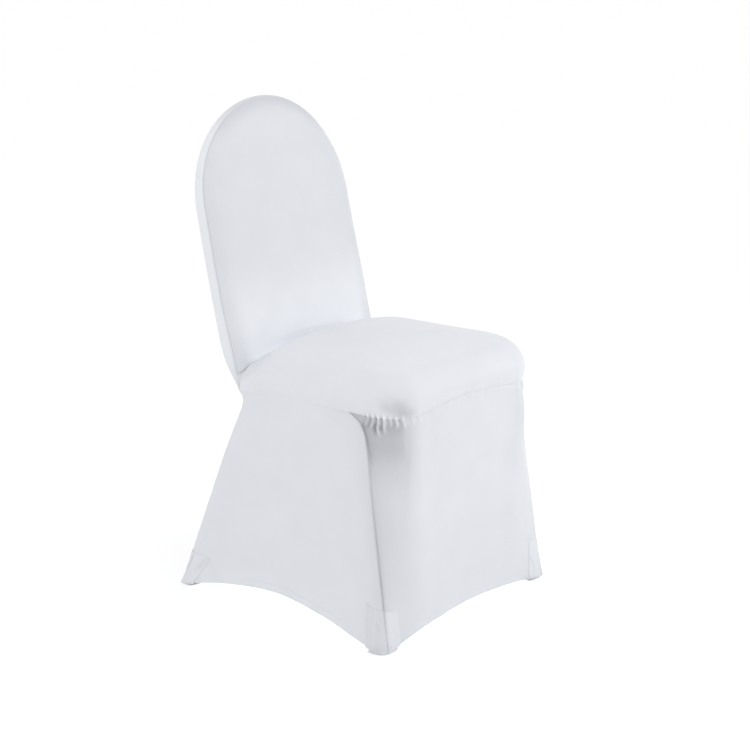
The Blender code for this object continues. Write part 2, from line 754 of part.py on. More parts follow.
def pocket_grid(pocket):
    """A foot pocket drawn at the left: down outside the skirt, under its hem and up inside it."""
    lines = pocket_lines(pocket, [0.0] * 20)
    last = len(lines) - 1
    hems = [line[-1][2] for line in lines]
    floors = [hems[i] - HEM_Z if i in (0, last) else 0.0 for i in range(len(lines))]
    tops = [pocket.side_top + (pocket.end_top - pocket.side_top) * i / last for i in range(len(lines))]
    levels = [tops] + [[row_height(line, number) for line in lines] for number in POCKET_ROWS]
    grid = [pocket_wall(pocket, heights, hems, tops) for heights in levels]
    outer = grid[-1]
    inner = pocket_inner_line(pocket, outer)
    round_off = POCKET_EDGE * (1 - math.sqrt(0.5))
    for inset, rise in ((0.0, POCKET_EDGE), (round_off, round_off), (POCKET_EDGE, 0.0)):
        grid.append([floor_point(a, b, inset, low + rise) for a, b, low in zip(outer, inner, floors)])
    for inset, rise in ((POCKET_EDGE, 0.0), (round_off, round_off), (0.0, POCKET_EDGE)):
        grid.append([floor_point(b, a, inset, low + rise) for a, b, low in zip(outer, inner, floors)])
    above = pocket_wall(pocket, [POCKET_INNER_TOP] * len(lines), hems, tops)
    for number, (high, low) in enumerate(zip(above, outer)):
        above[number] = grid[-1][number] + high - low
        above[number][2] = POCKET_INNER_TOP
    grid.append(above)
    return grid


def pocket_inner_line(pocket, outer):
    """Plan line of the pocket's inner wall: close inside the skirt at its ends, bowed in between."""
    normals = plan_normals(outer, pocket.side_y)
    inner = [point - normal * POCKET_WIDTH for point, normal in zip(outer, normals)]
    first, last = 1, len(outer) - 2
    run = [0.0]
    for a, b in zip(outer[first:last], outer[first + 1 : last + 1]):
        run.append(run[-1] + math.hypot(b[0] - a[0], b[1] - a[1]))
    bow = np.array((1.0, -pocket.side_y, 0.0)) * POCKET_BOW / math.sqrt(2)
    for i, distance in enumerate(run[1:-1], 1):
        share = distance / run[-1]
        inner[first + i] = mix(inner[first], inner[last], share) + bow * math.sin(math.pi * share)
    return inner


def floor_point(start, end, inset, z):
    """A point this far in from start towards end, in plan, at height z."""
    across = np.array((end[0] - start[0], end[1] - start[1]))
    across *= inset / np.linalg.norm(across)
    return np.array((start[0] + across[0], start[1] + across[1], z))


def pockets():
    """The four foot pockets as grids of points on their outer faces."""
    grids = {}
    for pocket in POCKETS:
        grid = pocket_grid(pocket)
        if pocket.side_x > 0:
            grid = [[mirrored(p) for p in row] for row in grid]
        grids[pocket.name] = grid
    return grids


def panels():
    """The cut panels as grids of points on the cover's outer face."""
    side = skirt_side()
    return {
        "inside_back": inside_back(),
        "outside_back": outside_back(),
        "seat_top": full_width(seat_half()),
        "skirt_front": skirt_front(),
        "skirt_left": side,
        "skirt_right": [[mirrored(p) for p in row] for row in side],
    }


def key(point):
    return tuple(round(float(c) * 1e6) for c in point)


def triangles(grid):
    """Corner keys of each triangle of a grid, without those that close up to a line."""
    for first, second in zip(grid, grid[1:]):
        for a, b, c, d in zip(first, first[1:], second[1:], second):
            for corners in ((a, b, c), (a, c, d)):
                if len({key(p) for p in corners}) == 3:
                    yield corners


def whole_cover(grids):
    """Every panel's outer face in one mesh, so that both sides of a seam share their normals."""
    cover = bmesh.new()
    panel_of = cover.faces.layers.int.new("panel")
    found = {}

    def vertex(point):
        if key(point) not in found:
            found[key(point)] = cover.verts.new(point)
        return found[key(point)]

    for number, grid in enumerate(grids):
        for corners in triangles(grid):
            face = cover.faces.new([vertex(p) for p in corners])
            face[panel_of] = number
    bmesh.ops.recalc_face_normals(cover, faces=cover.faces)
    cover.normal_update()
    middle = sum((v.co for v in cover.verts), Vector()) / len(cover.verts)
    if sum(f.normal.dot(f.calc_center_median() - middle) * f.calc_area() for f in cover.faces) < 0:
        bmesh.ops.reverse_faces(cover, faces=cover.faces)
        cover.normal_update()
    cover.verts.index_update()
    return cover, panel_of


def seam_shift(vert, faces, panel_of, number):
    """The small step that takes a vertex on a seam back into its own panel."""
    steps = []
    for edge in vert.link_edges:
        own = [f for f in edge.link_faces if f[panel_of] == number]
        if len(own) != 1 or len(edge.link_faces) < 2:
            continue
        along = (edge.verts[1].co - edge.verts[0].co).normalized()
        normal = sum((f.normal for f in edge.link_faces), Vector()).normalized()
        step = along.cross(normal).normalized()
        inside = own[0].calc_center_median() - edge.verts[0].co
        steps.append(step if step.dot(inside) > 0 else -step)
    if not steps:
        return Vector()
    if len(steps) == 1:
        return steps[0] * SEAM_SPACE / 2
    a, b = steps[0], steps[1]
    return (a + b) * (SEAM_SPACE / 2) / max(1 + a.dot(b), 0.35)


def cloth_at(vert, cloth, hem_cloth):
    """Thickness of the cloth at a vertex, which is doubled at the hem."""
    return hem_cloth if any(edge.is_boundary for edge in vert.link_edges) else cloth


def panel_mesh(cover, panel_of, number, name, cloth, hem_cloth):
    """One panel as a closed sheet: its outer face, the same face set inwards, and the edges between."""
    faces = [f for f in cover.faces if f[panel_of] == number]
    verts = sorted({v for f in faces for v in f.verts}, key=lambda v: v.index)
    place = {v: i for i, v in enumerate(verts)}
    outer, inner = [], []
    for vert in verts:
        shift = seam_shift(vert, faces, panel_of, number)
        depth = cloth_at(vert, cloth, hem_cloth) * min(vert.calc_shell_factor(), 1.6)
        outer.append(vert.co + shift)
        inner.append(vert.co + shift - vert.normal * depth)
    count = len(verts)
    rings = [[place[v] for v in f.verts] for f in faces]
    shell = [tuple(r) for r in rings] + [tuple(i + count for i in reversed(r)) for r in rings]
    edges = {}
    for ring in rings:
        for a, b in zip(ring, ring[1:] + ring[:1]):
            edges[(a, b)] = True
    for a, b in edges:
        if (b, a) not in edges and a < b:
            shell += [(b, a, a + count), (b, a + count, b + count)]
        elif (b, a) not in edges:
            shell += [(b, a, b + count), (a, a + count, b + count)]
    mesh = bpy.data.meshes.new(name)
    mesh.from_pydata([tuple(p) for p in outer + inner], [], shell)
    mesh.validate()
    return mesh


def cloth_material(name, colour):
    material = bpy.data.materials.new(name)
    material.use_nodes = True
    shader = material.node_tree.nodes["Principled BSDF"]
    shader.inputs["Base Color"].default_value = (*colour, 1)
    shader.inputs["Roughness"].default_value = 0.7
    shader.inputs["Metallic"].default_value = 0.0
    return material


def add_object(mesh, colour):
    mesh.materials.append(cloth_material(mesh.name + "_cloth", colour))
    mesh.shade_smooth()
    mesh.set_sharp_from_angle(angle=math.radians(40))
    obj = bpy.data.objects.new(mesh.name, mesh)
    bpy.context.scene.collection.objects.link(obj)
    return obj


def build():
    for obj in list(bpy.data.objects):
        bpy.data.objects.remove(obj)
    grids = panels()
    cover, panel_of = whole_cover(grids.values())
    for number, name in enumerate(grids):
        add_object(panel_mesh(cover, panel_of, number, name, CLOTH, HEM_CLOTH), COVER_COLOUR)
    cover.free()
    for name, grid in pockets().items():
        pocket, panel_of = whole_cover([grid])
        add_object(panel_mesh(pocket, panel_of, 0, name, POCKET_CLOTH, POCKET_CLOTH), COVER_COLOUR)
        pocket.free()


build()
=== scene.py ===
"""Looks of the stretch chair cover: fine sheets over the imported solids, cloth, light and camera."""

import math

import bpy
import numpy as np
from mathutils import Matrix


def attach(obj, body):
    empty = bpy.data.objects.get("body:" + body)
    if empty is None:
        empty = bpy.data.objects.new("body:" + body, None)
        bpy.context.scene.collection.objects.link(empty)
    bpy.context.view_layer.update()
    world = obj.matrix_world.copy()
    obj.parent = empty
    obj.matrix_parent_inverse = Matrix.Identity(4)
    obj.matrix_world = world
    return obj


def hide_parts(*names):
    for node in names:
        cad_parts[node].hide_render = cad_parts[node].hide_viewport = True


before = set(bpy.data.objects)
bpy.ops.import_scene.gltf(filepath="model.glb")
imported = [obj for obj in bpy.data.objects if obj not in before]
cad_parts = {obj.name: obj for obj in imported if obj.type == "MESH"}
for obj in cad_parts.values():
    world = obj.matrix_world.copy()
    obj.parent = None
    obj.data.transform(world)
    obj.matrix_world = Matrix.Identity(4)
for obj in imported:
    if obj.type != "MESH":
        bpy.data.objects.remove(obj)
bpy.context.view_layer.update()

# The cover's own sizes in metres, as its solids have them, apart from the depth of the back's seam
FOOT_X, FOOT_FRONT_Y, FOOT_REAR_Y, FOOT_RADIUS = 0.2435, -0.2620, 0.2495, 0.016
FRONT_SEAM_TURN, REAR_SEAM_TURN = math.radians(78), math.radians(45)
HEM_Z, HEM_RISE_FRONT, HEM_RISE_SIDE, HEM_RISE_REAR = 0.0034, 0.0200, 0.0405, 0.0230
HEM_ARCH_POWER = 1.6
PAD_X, PAD_FRONT_Y, PAD_CORNER_RADIUS = 0.1975, -0.2540, 0.057
PAD_SEAM_Z, PAD_SEAM_BOW = 0.4016, 0.011
PAD_TOP_Z, PAD_SWELL, PAD_DROOP, PAD_EDGE_WIDTH = 0.4846, 0.014, 0.012, 0.045
PAD_DIP_LENGTH, PAD_DROOP_LENGTH, PAD_EDGE_ABOVE_BACK = 0.085, 0.110, 0.016
PAD_MIDDLE_FROM_FRONT, PAD_MIDDLE_FROM_CREASE = 0.20, 0.010
WAIST_X, WAIST_Y, WAIST_Z, WAIST_MID_Y, WAIST_MID_Z = 0.1885, 0.1220, 0.3791, 0.1450, 0.4041
WAIST_RADIUS, REAR_FLAT = 0.010, 0.022
BACK_LEAN, BACK_CURVE, BACK_TOP_CURVE = math.radians(15.9), -0.108, -0.16
BACK_Y, BACK_Z = 0.1190, 0.4251
BACK_FOOT_HALF, BACK_SHOULDER_HALF, BACK_SHOULDER, BACK_ARCH = 0.2017, 0.1962, 0.3057, 0.2015
BACK_THICK, BACK_PADDING = 0.0370, 0.012
SEAM_INSET, SEAM_INSET_AT_CREASE, SEAM_DEPTH, SEAM_DEPTH_AT_TOP = 0.004, 0.009, 0.0110, 0.0130
SEAM_TURN_SHARE = 0.75
CREASE_RISE, BACK_FOOT_REACH, REAR_SWELL = 0.031, 0.14, 0.006
BACK_ROLL_SHARE, BACK_ROLL_SHARE_AT_TOP = 0.13, 0.24
CORNER_TOP = (0.1975, -0.1480, 0.4016)
CORNER_BEND = (0.2066, -0.1830, 0.3816)
CORNER_LEG = (0.2156, -0.2006, 0.3526)
# Round the edge of the back: inset, and share of its thickness
BACK_EDGE = ((0.0000, 0.27), (0.0000, 0.68), (0.0050, 0.92), (0.0160, 1.00))
# Up the edge of the pad: inset, and share of its rise
PAD_EDGE = ((-0.0045, 0.20), (-0.0050, 0.44), (0.0020, 0.68), (0.0170, 0.89), (PAD_EDGE_WIDTH, 1.00))
# Shares of the way from an edge to the middle
FACE_SHARES = (0.0, 0.025, 0.06, 0.10, 0.16, 0.23, 0.48, 0.74, 1.0)
TOP_SHARES = (0.30, 0.65, 1.0)
REAR_SHARES = (0.25, 0.5, 0.75, 1.0)
# The hollow at each front corner: depth, and its middle and reach as shares of half the front
HOLLOW_LEFT, HOLLOW_RIGHT = (0.013, 0.26, 0.17), (0.010, 0.25, 0.16)
HOLLOW_DIRECTION, HOLLOW_START, CORNER_REACH = np.array((0.45, 0.89, 0.0)), 0.12, 0.62
# Down a skirt panel: share of the height, then how much of the corner hollow and of the rolled lip
# is left there
SKIRT_DROPS = (0.0, 0.022, 0.052, 0.09, 0.15, 0.26, 0.41, 0.58, 0.74, 0.88, 0.965, 1.0)
SKIRT_HOLLOW = (0.0, 0.45, 0.95, 1.0, 0.85, 0.55, 0.30, 0.14, 0.04, 0.0, 0.0, 0.0)
SKIRT_LIP = (0.0, 0.05, 0.12, 0.25, 0.50, 0.75, 0.80, 0.65, 0.38, 0.16, 0.03, 0.0)
LIP_PROUD, LIP_DIRECTION = 0.0085, np.array((-0.8, -0.6, 0.0))
LIP_BEHIND, LIP_SHARE = (0.0, 0.005, 0.011, 0.020), (0.0, 0.75, 1.0, 0.80)
SIDE_STEPS = 9
# Sizes of the finer forms: the padding of the back, the crease, the pad's side and the front corner
PADDING_START, PADDING_LENGTH, PADDING_FOOT = 0.18, 0.62, (-0.006, 0.028)
CREASE_ARCH_POWER, CREASE_FORWARD_POWER = 2.4, 4
PAD_SIDE_RISE, PAD_SIDE_SWING, PAD_MIDDLE_AHEAD = 0.35, 0.5, 0.0018
BEND_SHARE, BEND_LIFT, LEG_SHARE = 0.55, np.array((0.0, 0.0, 0.004)), 0.12
HEM_CORNER_RUN, HEM_SPACING_POWER, REAR_HEM_POWER, FRONT_SAG_SPAN = 0.015, 0.9, 3, (0.2, 1.0)
# Steps between the points of the sheets, and the rows closest to a seam
GRID_STEP, FRONT_STEP, GATHER_STEP, FRONT_REST, ARCH_POINTS = 0.0036, 0.0030, 0.0008, 46, 89
SEAM_STEPS = np.array((0.0, 0.0006, 0.0013, 0.0022, 0.0034, 0.005, 0.007))
SKIRT_LENGTH, TINY = 0.392, 1e-12
SIDE_SAG, FRONT_SAG, REAR_SAG = 0.006, 0.004, 0.006


# Curves

def ease(value, start, end):
    t = np.clip((np.asarray(value, float) - start) / (end - start), 0.0, 1.0)
    return t * t * (3 - 2 * t)


def below(value, high, low):
    """0 above the higher level and 1 below the lower one."""
    return ease(-np.asarray(value, float), -high, -low)


def bell(distance, width):
    return np.exp(-((distance / width) ** 2))


def least(share, low):
    """A share from 0 to 1, raised so that it starts at a lowest value."""
    return low + (1 - low) * share


def mix(a, b, share):
    return np.asarray(a, float) * (1 - share) + np.asarray(b, float) * share


def xyz(x, y, z):
    return np.stack(np.broadcast_arrays(x, y, z), axis=-1)


def smooth(knots, values, where):
    """A smooth curve through values at the knots, along axis 0, read at these places."""
    x, y = np.asarray(knots, float), np.asarray(values, float)
    shape = (-1,) + (1,) * (y.ndim - 1)
    gap = np.diff(x)
    slope = np.diff(y, axis=0) / gap.reshape(shape)
    tangent = np.empty_like(y)
    tangent[0], tangent[-1] = slope[0], slope[-1]
    if len(x) > 2:
        before, after = gap[:-1].reshape(shape), gap[1:].reshape(shape)
        tangent[1:-1] = (before * slope[1:] + after * slope[:-1]) / (before + after)
    i = np.clip(np.searchsorted(x, where, side="right") - 1, 0, len(x) - 2)
    h = gap[i].reshape(shape)
    t = ((np.clip(where, x[0], x[-1]) - x[i]) / gap[i]).reshape(shape)
    return (
        y[i] * (2 * t**3 - 3 * t**2 + 1)
        + y[i + 1] * (3 * t**2 - 2 * t**3)
        + tangent[i] * h * (t**3 - 2 * t**2 + t)
        + tangent[i + 1] * h * (t**3 - t**2)
    )


def graded(length, step, start=True, end=False):
    """Distances from 0 to length, closer together beside a seam at the start or the end."""
    low = SEAM_STEPS if start else SEAM_STEPS[:1]
    high = length - SEAM_STEPS[::-1] if end else np.array((length,))
    count = max(int(round((high[0] - low[-1]) / step)), 1)
    middle = np.linspace(low[-1], high[0], count + 1)[1:-1]
    return np.concatenate((low, middle, high))


def spread(count_of):
    """Index places along a section, refined to this many steps in each of its spans."""
    places = [0.0]
    for span, count in enumerate(count_of):
        places += [span + (i + 1) / count for i in range(count)]
    return np.array(places)


# Places along the nine-point sections of the back and the pad
NEAR = (0.045, 0.09, 0.15, 0.23, 0.33, 0.46, 0.62, 0.80)
SPAN_STEPS, SECTION_POINTS = (8, 8, 8, 8, 14, 14, 14), 9
SECTION = np.concatenate(((0.0,), NEAR, spread(SPAN_STEPS) + 1))
FINE_FACE = np.interp(SECTION, np.arange(SECTION_POINTS), FACE_SHARES)


def across_section(controls):
    """Fine columns from rows of nine control points, spaced by their mean distances."""
    span = np.linalg.norm(np.diff(controls, axis=1), axis=2).mean(axis=0)
    knots = np.concatenate(((0.0,), np.cumsum(span)))
    where = np.interp(SECTION, np.arange(SECTION_POINTS), knots)
    return smooth(knots, controls.transpose(1, 0, 2), where).transpose(1, 0, 2)


def lengths(grid, axis, end=False):
    """Distances along an axis of a grid of points, from its start or its end."""
    step = np.linalg.norm(np.diff(grid, axis=axis), axis=2)
    pad = [(0, 0), (0, 0)]
    pad[axis] = (1, 0)
    run = np.pad(np.cumsum(step, axis=axis), pad)
    return run.take([-1], axis=axis) - run if end else run


def either_end(grid, axis):
    return np.minimum(lengths(grid, axis), lengths(grid, axis, end=True))


def mirrored(points):
    return points * np.array((-1.0, 1.0, 1.0))


# The back

def on_back(x, up, depth):
    curve = BACK_CURVE * up**2 + BACK_TOP_CURVE * np.maximum(up - BACK_SHOULDER, 0.0) ** 2
    y = BACK_Y + up * math.sin(BACK_LEAN) + curve + depth * math.cos(BACK_LEAN)
    z = BACK_Z + up * math.cos(BACK_LEAN) - depth * math.sin(BACK_LEAN)
    return xyz(x, y, z)


def back_outline():
    """x, up, outward x and outward up round the arch, from the left foot to the right one."""
    up = graded(BACK_SHOULDER, GRID_STEP)[:-1]
    half = BACK_FOOT_HALF + (BACK_SHOULDER_HALF - BACK_FOOT_HALF) * up / BACK_SHOULDER
    side = np.stack((-half, up, -np.ones_like(up), np.zeros_like(up)))
    turn = np.linspace(0, math.pi / 2, ARCH_POINTS)
    out_x, out_up = BACK_ARCH * np.cos(turn), BACK_SHOULDER_HALF * np.sin(turn)
    length = np.hypot(out_x, out_up)
    x = -BACK_SHOULDER_HALF * np.cos(turn)
    x[-1] = out_x[-1] = 0.0
    arch = np.stack((x, BACK_SHOULDER + BACK_ARCH * np.sin(turn), -out_x / length, out_up / length))
    left = np.concatenate((side, arch), axis=1)
    right = left[:, -2::-1] * np.array((-1.0, 1.0, -1.0, 1.0))[:, None]
    return np.concatenate((left, right), axis=1)


def seam_depth(up):
    deepest = BACK_SHOULDER + SEAM_TURN_SHARE * BACK_ARCH
    return SEAM_DEPTH + (SEAM_DEPTH_AT_TOP - SEAM_DEPTH) * ease(up, BACK_SHOULDER, deepest)


def seam_inset(up):
    return SEAM_INSET_AT_CREASE + (SEAM_INSET - SEAM_INSET_AT_CREASE) * ease(up, 0.0, BACK_FOOT_REACH)


OUTLINE = back_outline()
MIDDLE_ROW = OUTLINE.shape[1] // 2
X, UP, OUT_X, OUT_UP = OUTLINE
BACK_SEAM = on_back(X - OUT_X * seam_inset(UP), UP - OUT_UP * seam_inset(UP), seam_depth(UP))


def crease(share):
    """The crease behind the seat; share runs from -1 at the left end to 1 at the right end."""
    end = BACK_SEAM[0]
    share = np.asarray(share, float)
    lift = CREASE_RISE * (1 - np.abs(share) ** CREASE_ARCH_POWER)
    forward = SEAM_DEPTH * (1 - share**CREASE_FORWARD_POWER)
    return xyz(end[0] * -share, end[1] - forward + lift * math.tan(BACK_LEAN), end[2] + lift)


def roll_share(up):
    high = ease(up, BACK_SHOULDER, BACK_SHOULDER + SEAM_TURN_SHARE * BACK_ARCH)
    return BACK_ROLL_SHARE + (BACK_ROLL_SHARE_AT_TOP - BACK_ROLL_SHARE) * high


def inside_back():
    share = FINE_FACE[None, :]
    x, up, out_x, out_up = (row[:, None] for row in OUTLINE)
    inset = seam_inset(up)
    px = (x - out_x * inset) * (1 - share)
    pu = (up - out_up * inset) * (1 - share) + np.minimum(up, BACK_SHOULDER) * share
    roll = seam_depth(up) * np.maximum(1 - share / roll_share(up), 0.0) ** 2
    swell = (1 - (1 - share) ** 2) * np.sin(math.pi * np.minimum(PADDING_START + pu / PADDING_LENGTH, 1.0))
    swell = swell * ease(up, *PADDING_FOOT)
    points = on_back(px, pu, roll - BACK_PADDING * swell)
    side = np.where(np.arange(len(X)) <= MIDDLE_ROW, -1.0, 1.0)[:, None]
    low = crease(side * (1 - share))
    left = (1 - ease(up, 0.0, BACK_FOOT_REACH)) * np.minimum(share / BACK_ROLL_SHARE, 1.0)
    points = points + (low - on_back(px, 0.0, 0.0)) * left[..., None]
    points[:, 0] = BACK_SEAM
    for row in (0, -1):
        points[row, 1:] = low[row, 1:]
    return points


def outside_back_upper():
    x, up, out_x, out_up = OUTLINE
    seam = seam_depth(up)
    columns = [BACK_SEAM]
    for inset, depth in BACK_EDGE:
        columns.append(on_back(x - out_x * inset, up - out_up * inset, seam + (BACK_THICK - seam) * depth))
    inner_x, inner_up = x - out_x * BACK_EDGE[-1][0], up - out_up * BACK_EDGE[-1][0]
    for share in REAR_SHARES:
        pu = inner_up * (1 - share) + np.minimum(inner_up, BACK_SHOULDER) * share
        swell = REAR_SWELL * (1 - (1 - share) ** 2) * ease(up, 0.0, BACK_FOOT_REACH)
        columns.append(on_back(inner_x * (1 - share), pu, BACK_THICK + swell))
    return across_section(np.stack(columns, axis=1))


# Seams and hems of the skirt

def foot_corner(side_y, turn):
    """Points of the left foot's rounded corner; turn is 0 at the side and 90 degrees at the end."""
    turn = np.asarray(turn, float)
    y = FOOT_FRONT_Y if side_y < 0 else FOOT_REAR_Y
    x = -FOOT_X + FOOT_RADIUS - FOOT_RADIUS * np.cos(turn)
    return xyz(x, y - side_y * FOOT_RADIUS + side_y * FOOT_RADIUS * np.sin(turn), HEM_Z)


WAIST = np.array((-WAIST_X, WAIST_Y, WAIST_Z))
DROPS = graded(SKIRT_LENGTH, GRID_STEP, True, True) / SKIRT_LENGTH
# How far the rear corner seam is drawn in just below the waist, and at which share of its drop
WAIST_DRAWN_IN, WAIST_DRAWN_AT = np.array((0.0035, -0.0035, 0.0)), 0.06


def rear_corner_seam(drop):
    share = np.asarray(drop, float)[:, None]
    drawn = share / WAIST_DRAWN_AT * np.exp(1 - share / WAIST_DRAWN_AT)
    return mix(WAIST, foot_corner(1, REAR_SEAM_TURN), share) + WAIST_DRAWN_IN * drawn


def front_corner_seam(drop):
    """Seam from the side of the pad, forward round a bend and then straight down to the front foot."""
    top, bend, leg = (np.array((-x, y, z)) for x, y, z in (CORNER_TOP, CORNER_BEND, CORNER_LEG))
    foot = foot_corner(-1, FRONT_SEAM_TURN)
    run = np.stack((top, mix(top, bend, BEND_SHARE) + BEND_LIFT, bend, leg, mix(leg, foot, LEG_SHARE), foot))
    z = top[2] + (foot[2] - top[2]) * np.asarray(drop, float)
    line = smooth(-run[:, 2], run, -z)
    line[:, 2] = z
    return line


def pad_side_point(share):
    share = np.asarray(share, float)
    rise = 1 - (1 - np.minimum(share / PAD_SIDE_RISE, 1.0)) ** 2
    out = 1 - (1 - np.minimum(share / PAD_SIDE_SWING, 1.0)) ** 2
    y = WAIST_Y + (CORNER_TOP[1] - WAIST_Y) * share
    return xyz(-(WAIST_X + (PAD_X - WAIST_X) * out), y, WAIST_Z + (PAD_SEAM_Z - WAIST_Z) * rise)


SIDE_LENGTH = WAIST_Y - CORNER_TOP[1]
SIDE_FINE = graded(SIDE_LENGTH, GRID_STEP, True, True)


def side_columns():
    """Shares of the nine spans of a side panel, from its rear seam to its front one."""
    plain = SIDE_STEPS - len(LIP_BEHIND) + 1
    last = 1 - LIP_BEHIND[-1] / SIDE_LENGTH
    shares = [last * i / plain for i in range(plain)]
    return np.array(shares + [1 - behind / SIDE_LENGTH for behind in reversed(LIP_BEHIND)])


SIDE_SHARES = side_columns()
PAD_SIDE = pad_side_point(SIDE_FINE / SIDE_LENGTH)


PAD_STRAIGHT = (CORNER_TOP[1] - PAD_FRONT_Y) - PAD_CORNER_RADIUS
PAD_FLAT, PAD_BEND = PAD_X - PAD_CORNER_RADIUS, PAD_CORNER_RADIUS * math.pi / 2
FRONT_LENGTH = PAD_STRAIGHT + PAD_BEND + PAD_FLAT
GATHER_START, GATHER_END = 0.028, 0.118


def seam_height(distance):
    along = np.maximum(distance - PAD_STRAIGHT - PAD_BEND, 0.0)
    return PAD_SEAM_Z + PAD_SEAM_BOW * np.where(along > 0, 1 - ((along - PAD_FLAT) / PAD_FLAT) ** 2, 0.0)


def pad_outline_at(distance):
    """Points of the pad's left outline, this far forward of the corner seam."""
    turn = np.clip((distance - PAD_STRAIGHT) / PAD_CORNER_RADIUS, 0.0, math.pi / 2)
    along = np.maximum(distance - PAD_STRAIGHT - PAD_BEND, 0.0)
    x = -PAD_FLAT - np.cos(turn) * PAD_CORNER_RADIUS + along
    y = PAD_FRONT_Y + PAD_CORNER_RADIUS - np.sin(turn) * PAD_CORNER_RADIUS
    return xyz(x, y + np.maximum(PAD_STRAIGHT - distance, 0), seam_height(distance))


def front_fine():
    """Distances of the front seam's fine points from the corner seam to the middle of the front."""
    low = graded(GATHER_START, FRONT_STEP)
    gathers = np.arange(GATHER_START, GATHER_END, GATHER_STEP)[1:]
    rest = np.linspace(GATHER_END, FRONT_LENGTH, FRONT_REST)
    return np.concatenate((low, gathers, rest))


FRONT_FINE = front_fine()
FRONT_SEAM = pad_outline_at(FRONT_FINE)


def hem_height(share, rise):
    level = FOOT_RADIUS / (2 * FOOT_X)
    between = np.clip((share - level) / (1 - 2 * level), 0.0, 1.0)
    return HEM_Z + rise * (1 - np.abs(2 * between - 1) ** HEM_ARCH_POWER)


def side_hem():
    rear = [foot_corner(1, REAR_SEAM_TURN * share) for share in (1.0, 0.5, 0.0)]
    turns = [FRONT_SEAM_TURN - behind / FOOT_RADIUS for behind in reversed(LIP_BEHIND)]
    front = [foot_corner(-1, max(turn, 0.0)) for turn in turns]
    steps = SIDE_STEPS - len(rear) - len(front) + 2
    between = [mix(rear[-1], front[0], i / steps) for i in range(1, steps)]
    line = np.array(rear + between + front)
    share = (FOOT_REAR_Y - line[:, 1]) / (FOOT_REAR_Y - FOOT_FRONT_Y)
    line[:, 2] = hem_height(share, HEM_RISE_SIDE)
    line[:, 0] += SIDE_SAG * (4 * share * (1 - share)) ** 2
    return line


def skirt_side():
    """Left side panel, rows from the pad's seam down to the hem."""
    top, hem = pad_side_point(SIDE_SHARES), side_hem()
    rear, front = rear_corner_seam(DROPS), front_corner_seam(DROPS)
    drop = DROPS[:, None, None]
    across = (np.arange(len(top)) / (len(top) - 1))[None, :, None]
    grid = top[None] * (1 - drop) + hem[None] * drop
    grid = grid + (rear[:, None] - mix(top[0], hem[0], drop)) * (1 - across) ** 2
    grid = grid + (front[:, None] - mix(top[-1], hem[-1], drop)) * across**2
    grid[:, 0], grid[:, -1] = rear, front
    sag = SIDE_SAG * np.sin(math.pi * drop[..., 0]) * np.sin(math.pi * across[..., 0])
    grid[..., 0] += sag
    lip = np.zeros(len(top))
    lip[-len(LIP_BEHIND):] = LIP_SHARE[::-1]
    amount = smooth(SKIRT_DROPS, SKIRT_LIP, DROPS)[:, None] * lip[None]
    grid = grid + LIP_DIRECTION * LIP_PROUD * amount[..., None]
    fine = smooth(SIDE_SHARES, grid.transpose(1, 0, 2), SIDE_FINE / SIDE_LENGTH).transpose(1, 0, 2)
    fine[0] = PAD_SIDE
    fine[:, 0], fine[:, -1] = rear, front
    return fine


def front_hem(distance):
    """Left half of the front hem, spaced as the seam above it is."""
    first = HEM_CORNER_RUN
    turn = FRONT_SEAM_TURN + (math.pi / 2 - FRONT_SEAM_TURN) * np.minimum(distance / first, 1.0)
    line = foot_corner(-1, turn)
    share = (np.maximum(distance - first, 0.0) / (FRONT_LENGTH - first)) ** HEM_SPACING_POWER
    past = distance > first
    line[past, 0] = (-FOOT_X + FOOT_RADIUS) * (1 - share[past])
    line[past, 1] = FOOT_FRONT_Y
    share = (line[:, 0] + FOOT_X) / (2 * FOOT_X)
    line[:, 2] = hem_height(share, HEM_RISE_FRONT)
    line[:, 1] += FRONT_SAG * (4 * share * (1 - share)) ** 2
    line[-1, 0] = 0.0
    return line


def skirt_front_half(hollow):
    """Half of the front panel drawn at the left: rows from the pad's seam down to the hem."""
    depth, middle, reach = hollow
    drop = DROPS[:, None]
    across = (FRONT_FINE / FRONT_LENGTH)[None, :]
    hem, seam = front_hem(FRONT_FINE), front_corner_seam(DROPS)
    grid = FRONT_SEAM[None] * (1 - drop[..., None]) + hem[None] * drop[..., None]
    pull = seam - mix(seam[0], seam[-1], drop)
    grid = grid + pull[:, None] * (1 - ease(across, 0.0, CORNER_REACH))[..., None]
    near = bell(across - middle, reach) * ease(across, 0.0, HOLLOW_START)
    sunk = smooth(SKIRT_DROPS, SKIRT_HOLLOW, DROPS)[:, None] * near * depth
    grid = grid + HOLLOW_DIRECTION * sunk[..., None]
    grid[..., 1] += FRONT_SAG * np.sin(math.pi * drop) * ease(across, *FRONT_SAG_SPAN)
    grid[:, 0] = seam
    grid[0], grid[-1] = FRONT_SEAM, hem
    grid[:, -1, 0] = 0.0
    return grid


# The pad of the seat

def pad_top(y):
    low = crease(0.0)[2]
    edge_low = BACK_Z + PAD_EDGE_ABOVE_BACK
    dip = ease(BACK_Y - y, 0.0, PAD_DIP_LENGTH)
    droop = PAD_DROOP * (1 - ease(y, PAD_FRONT_Y, PAD_FRONT_Y + PAD_DROOP_LENGTH))
    edge = edge_low + (PAD_TOP_Z - edge_low) * dip - droop
    middle = low + (PAD_TOP_Z + PAD_SWELL - low) * dip - droop
    return edge, middle


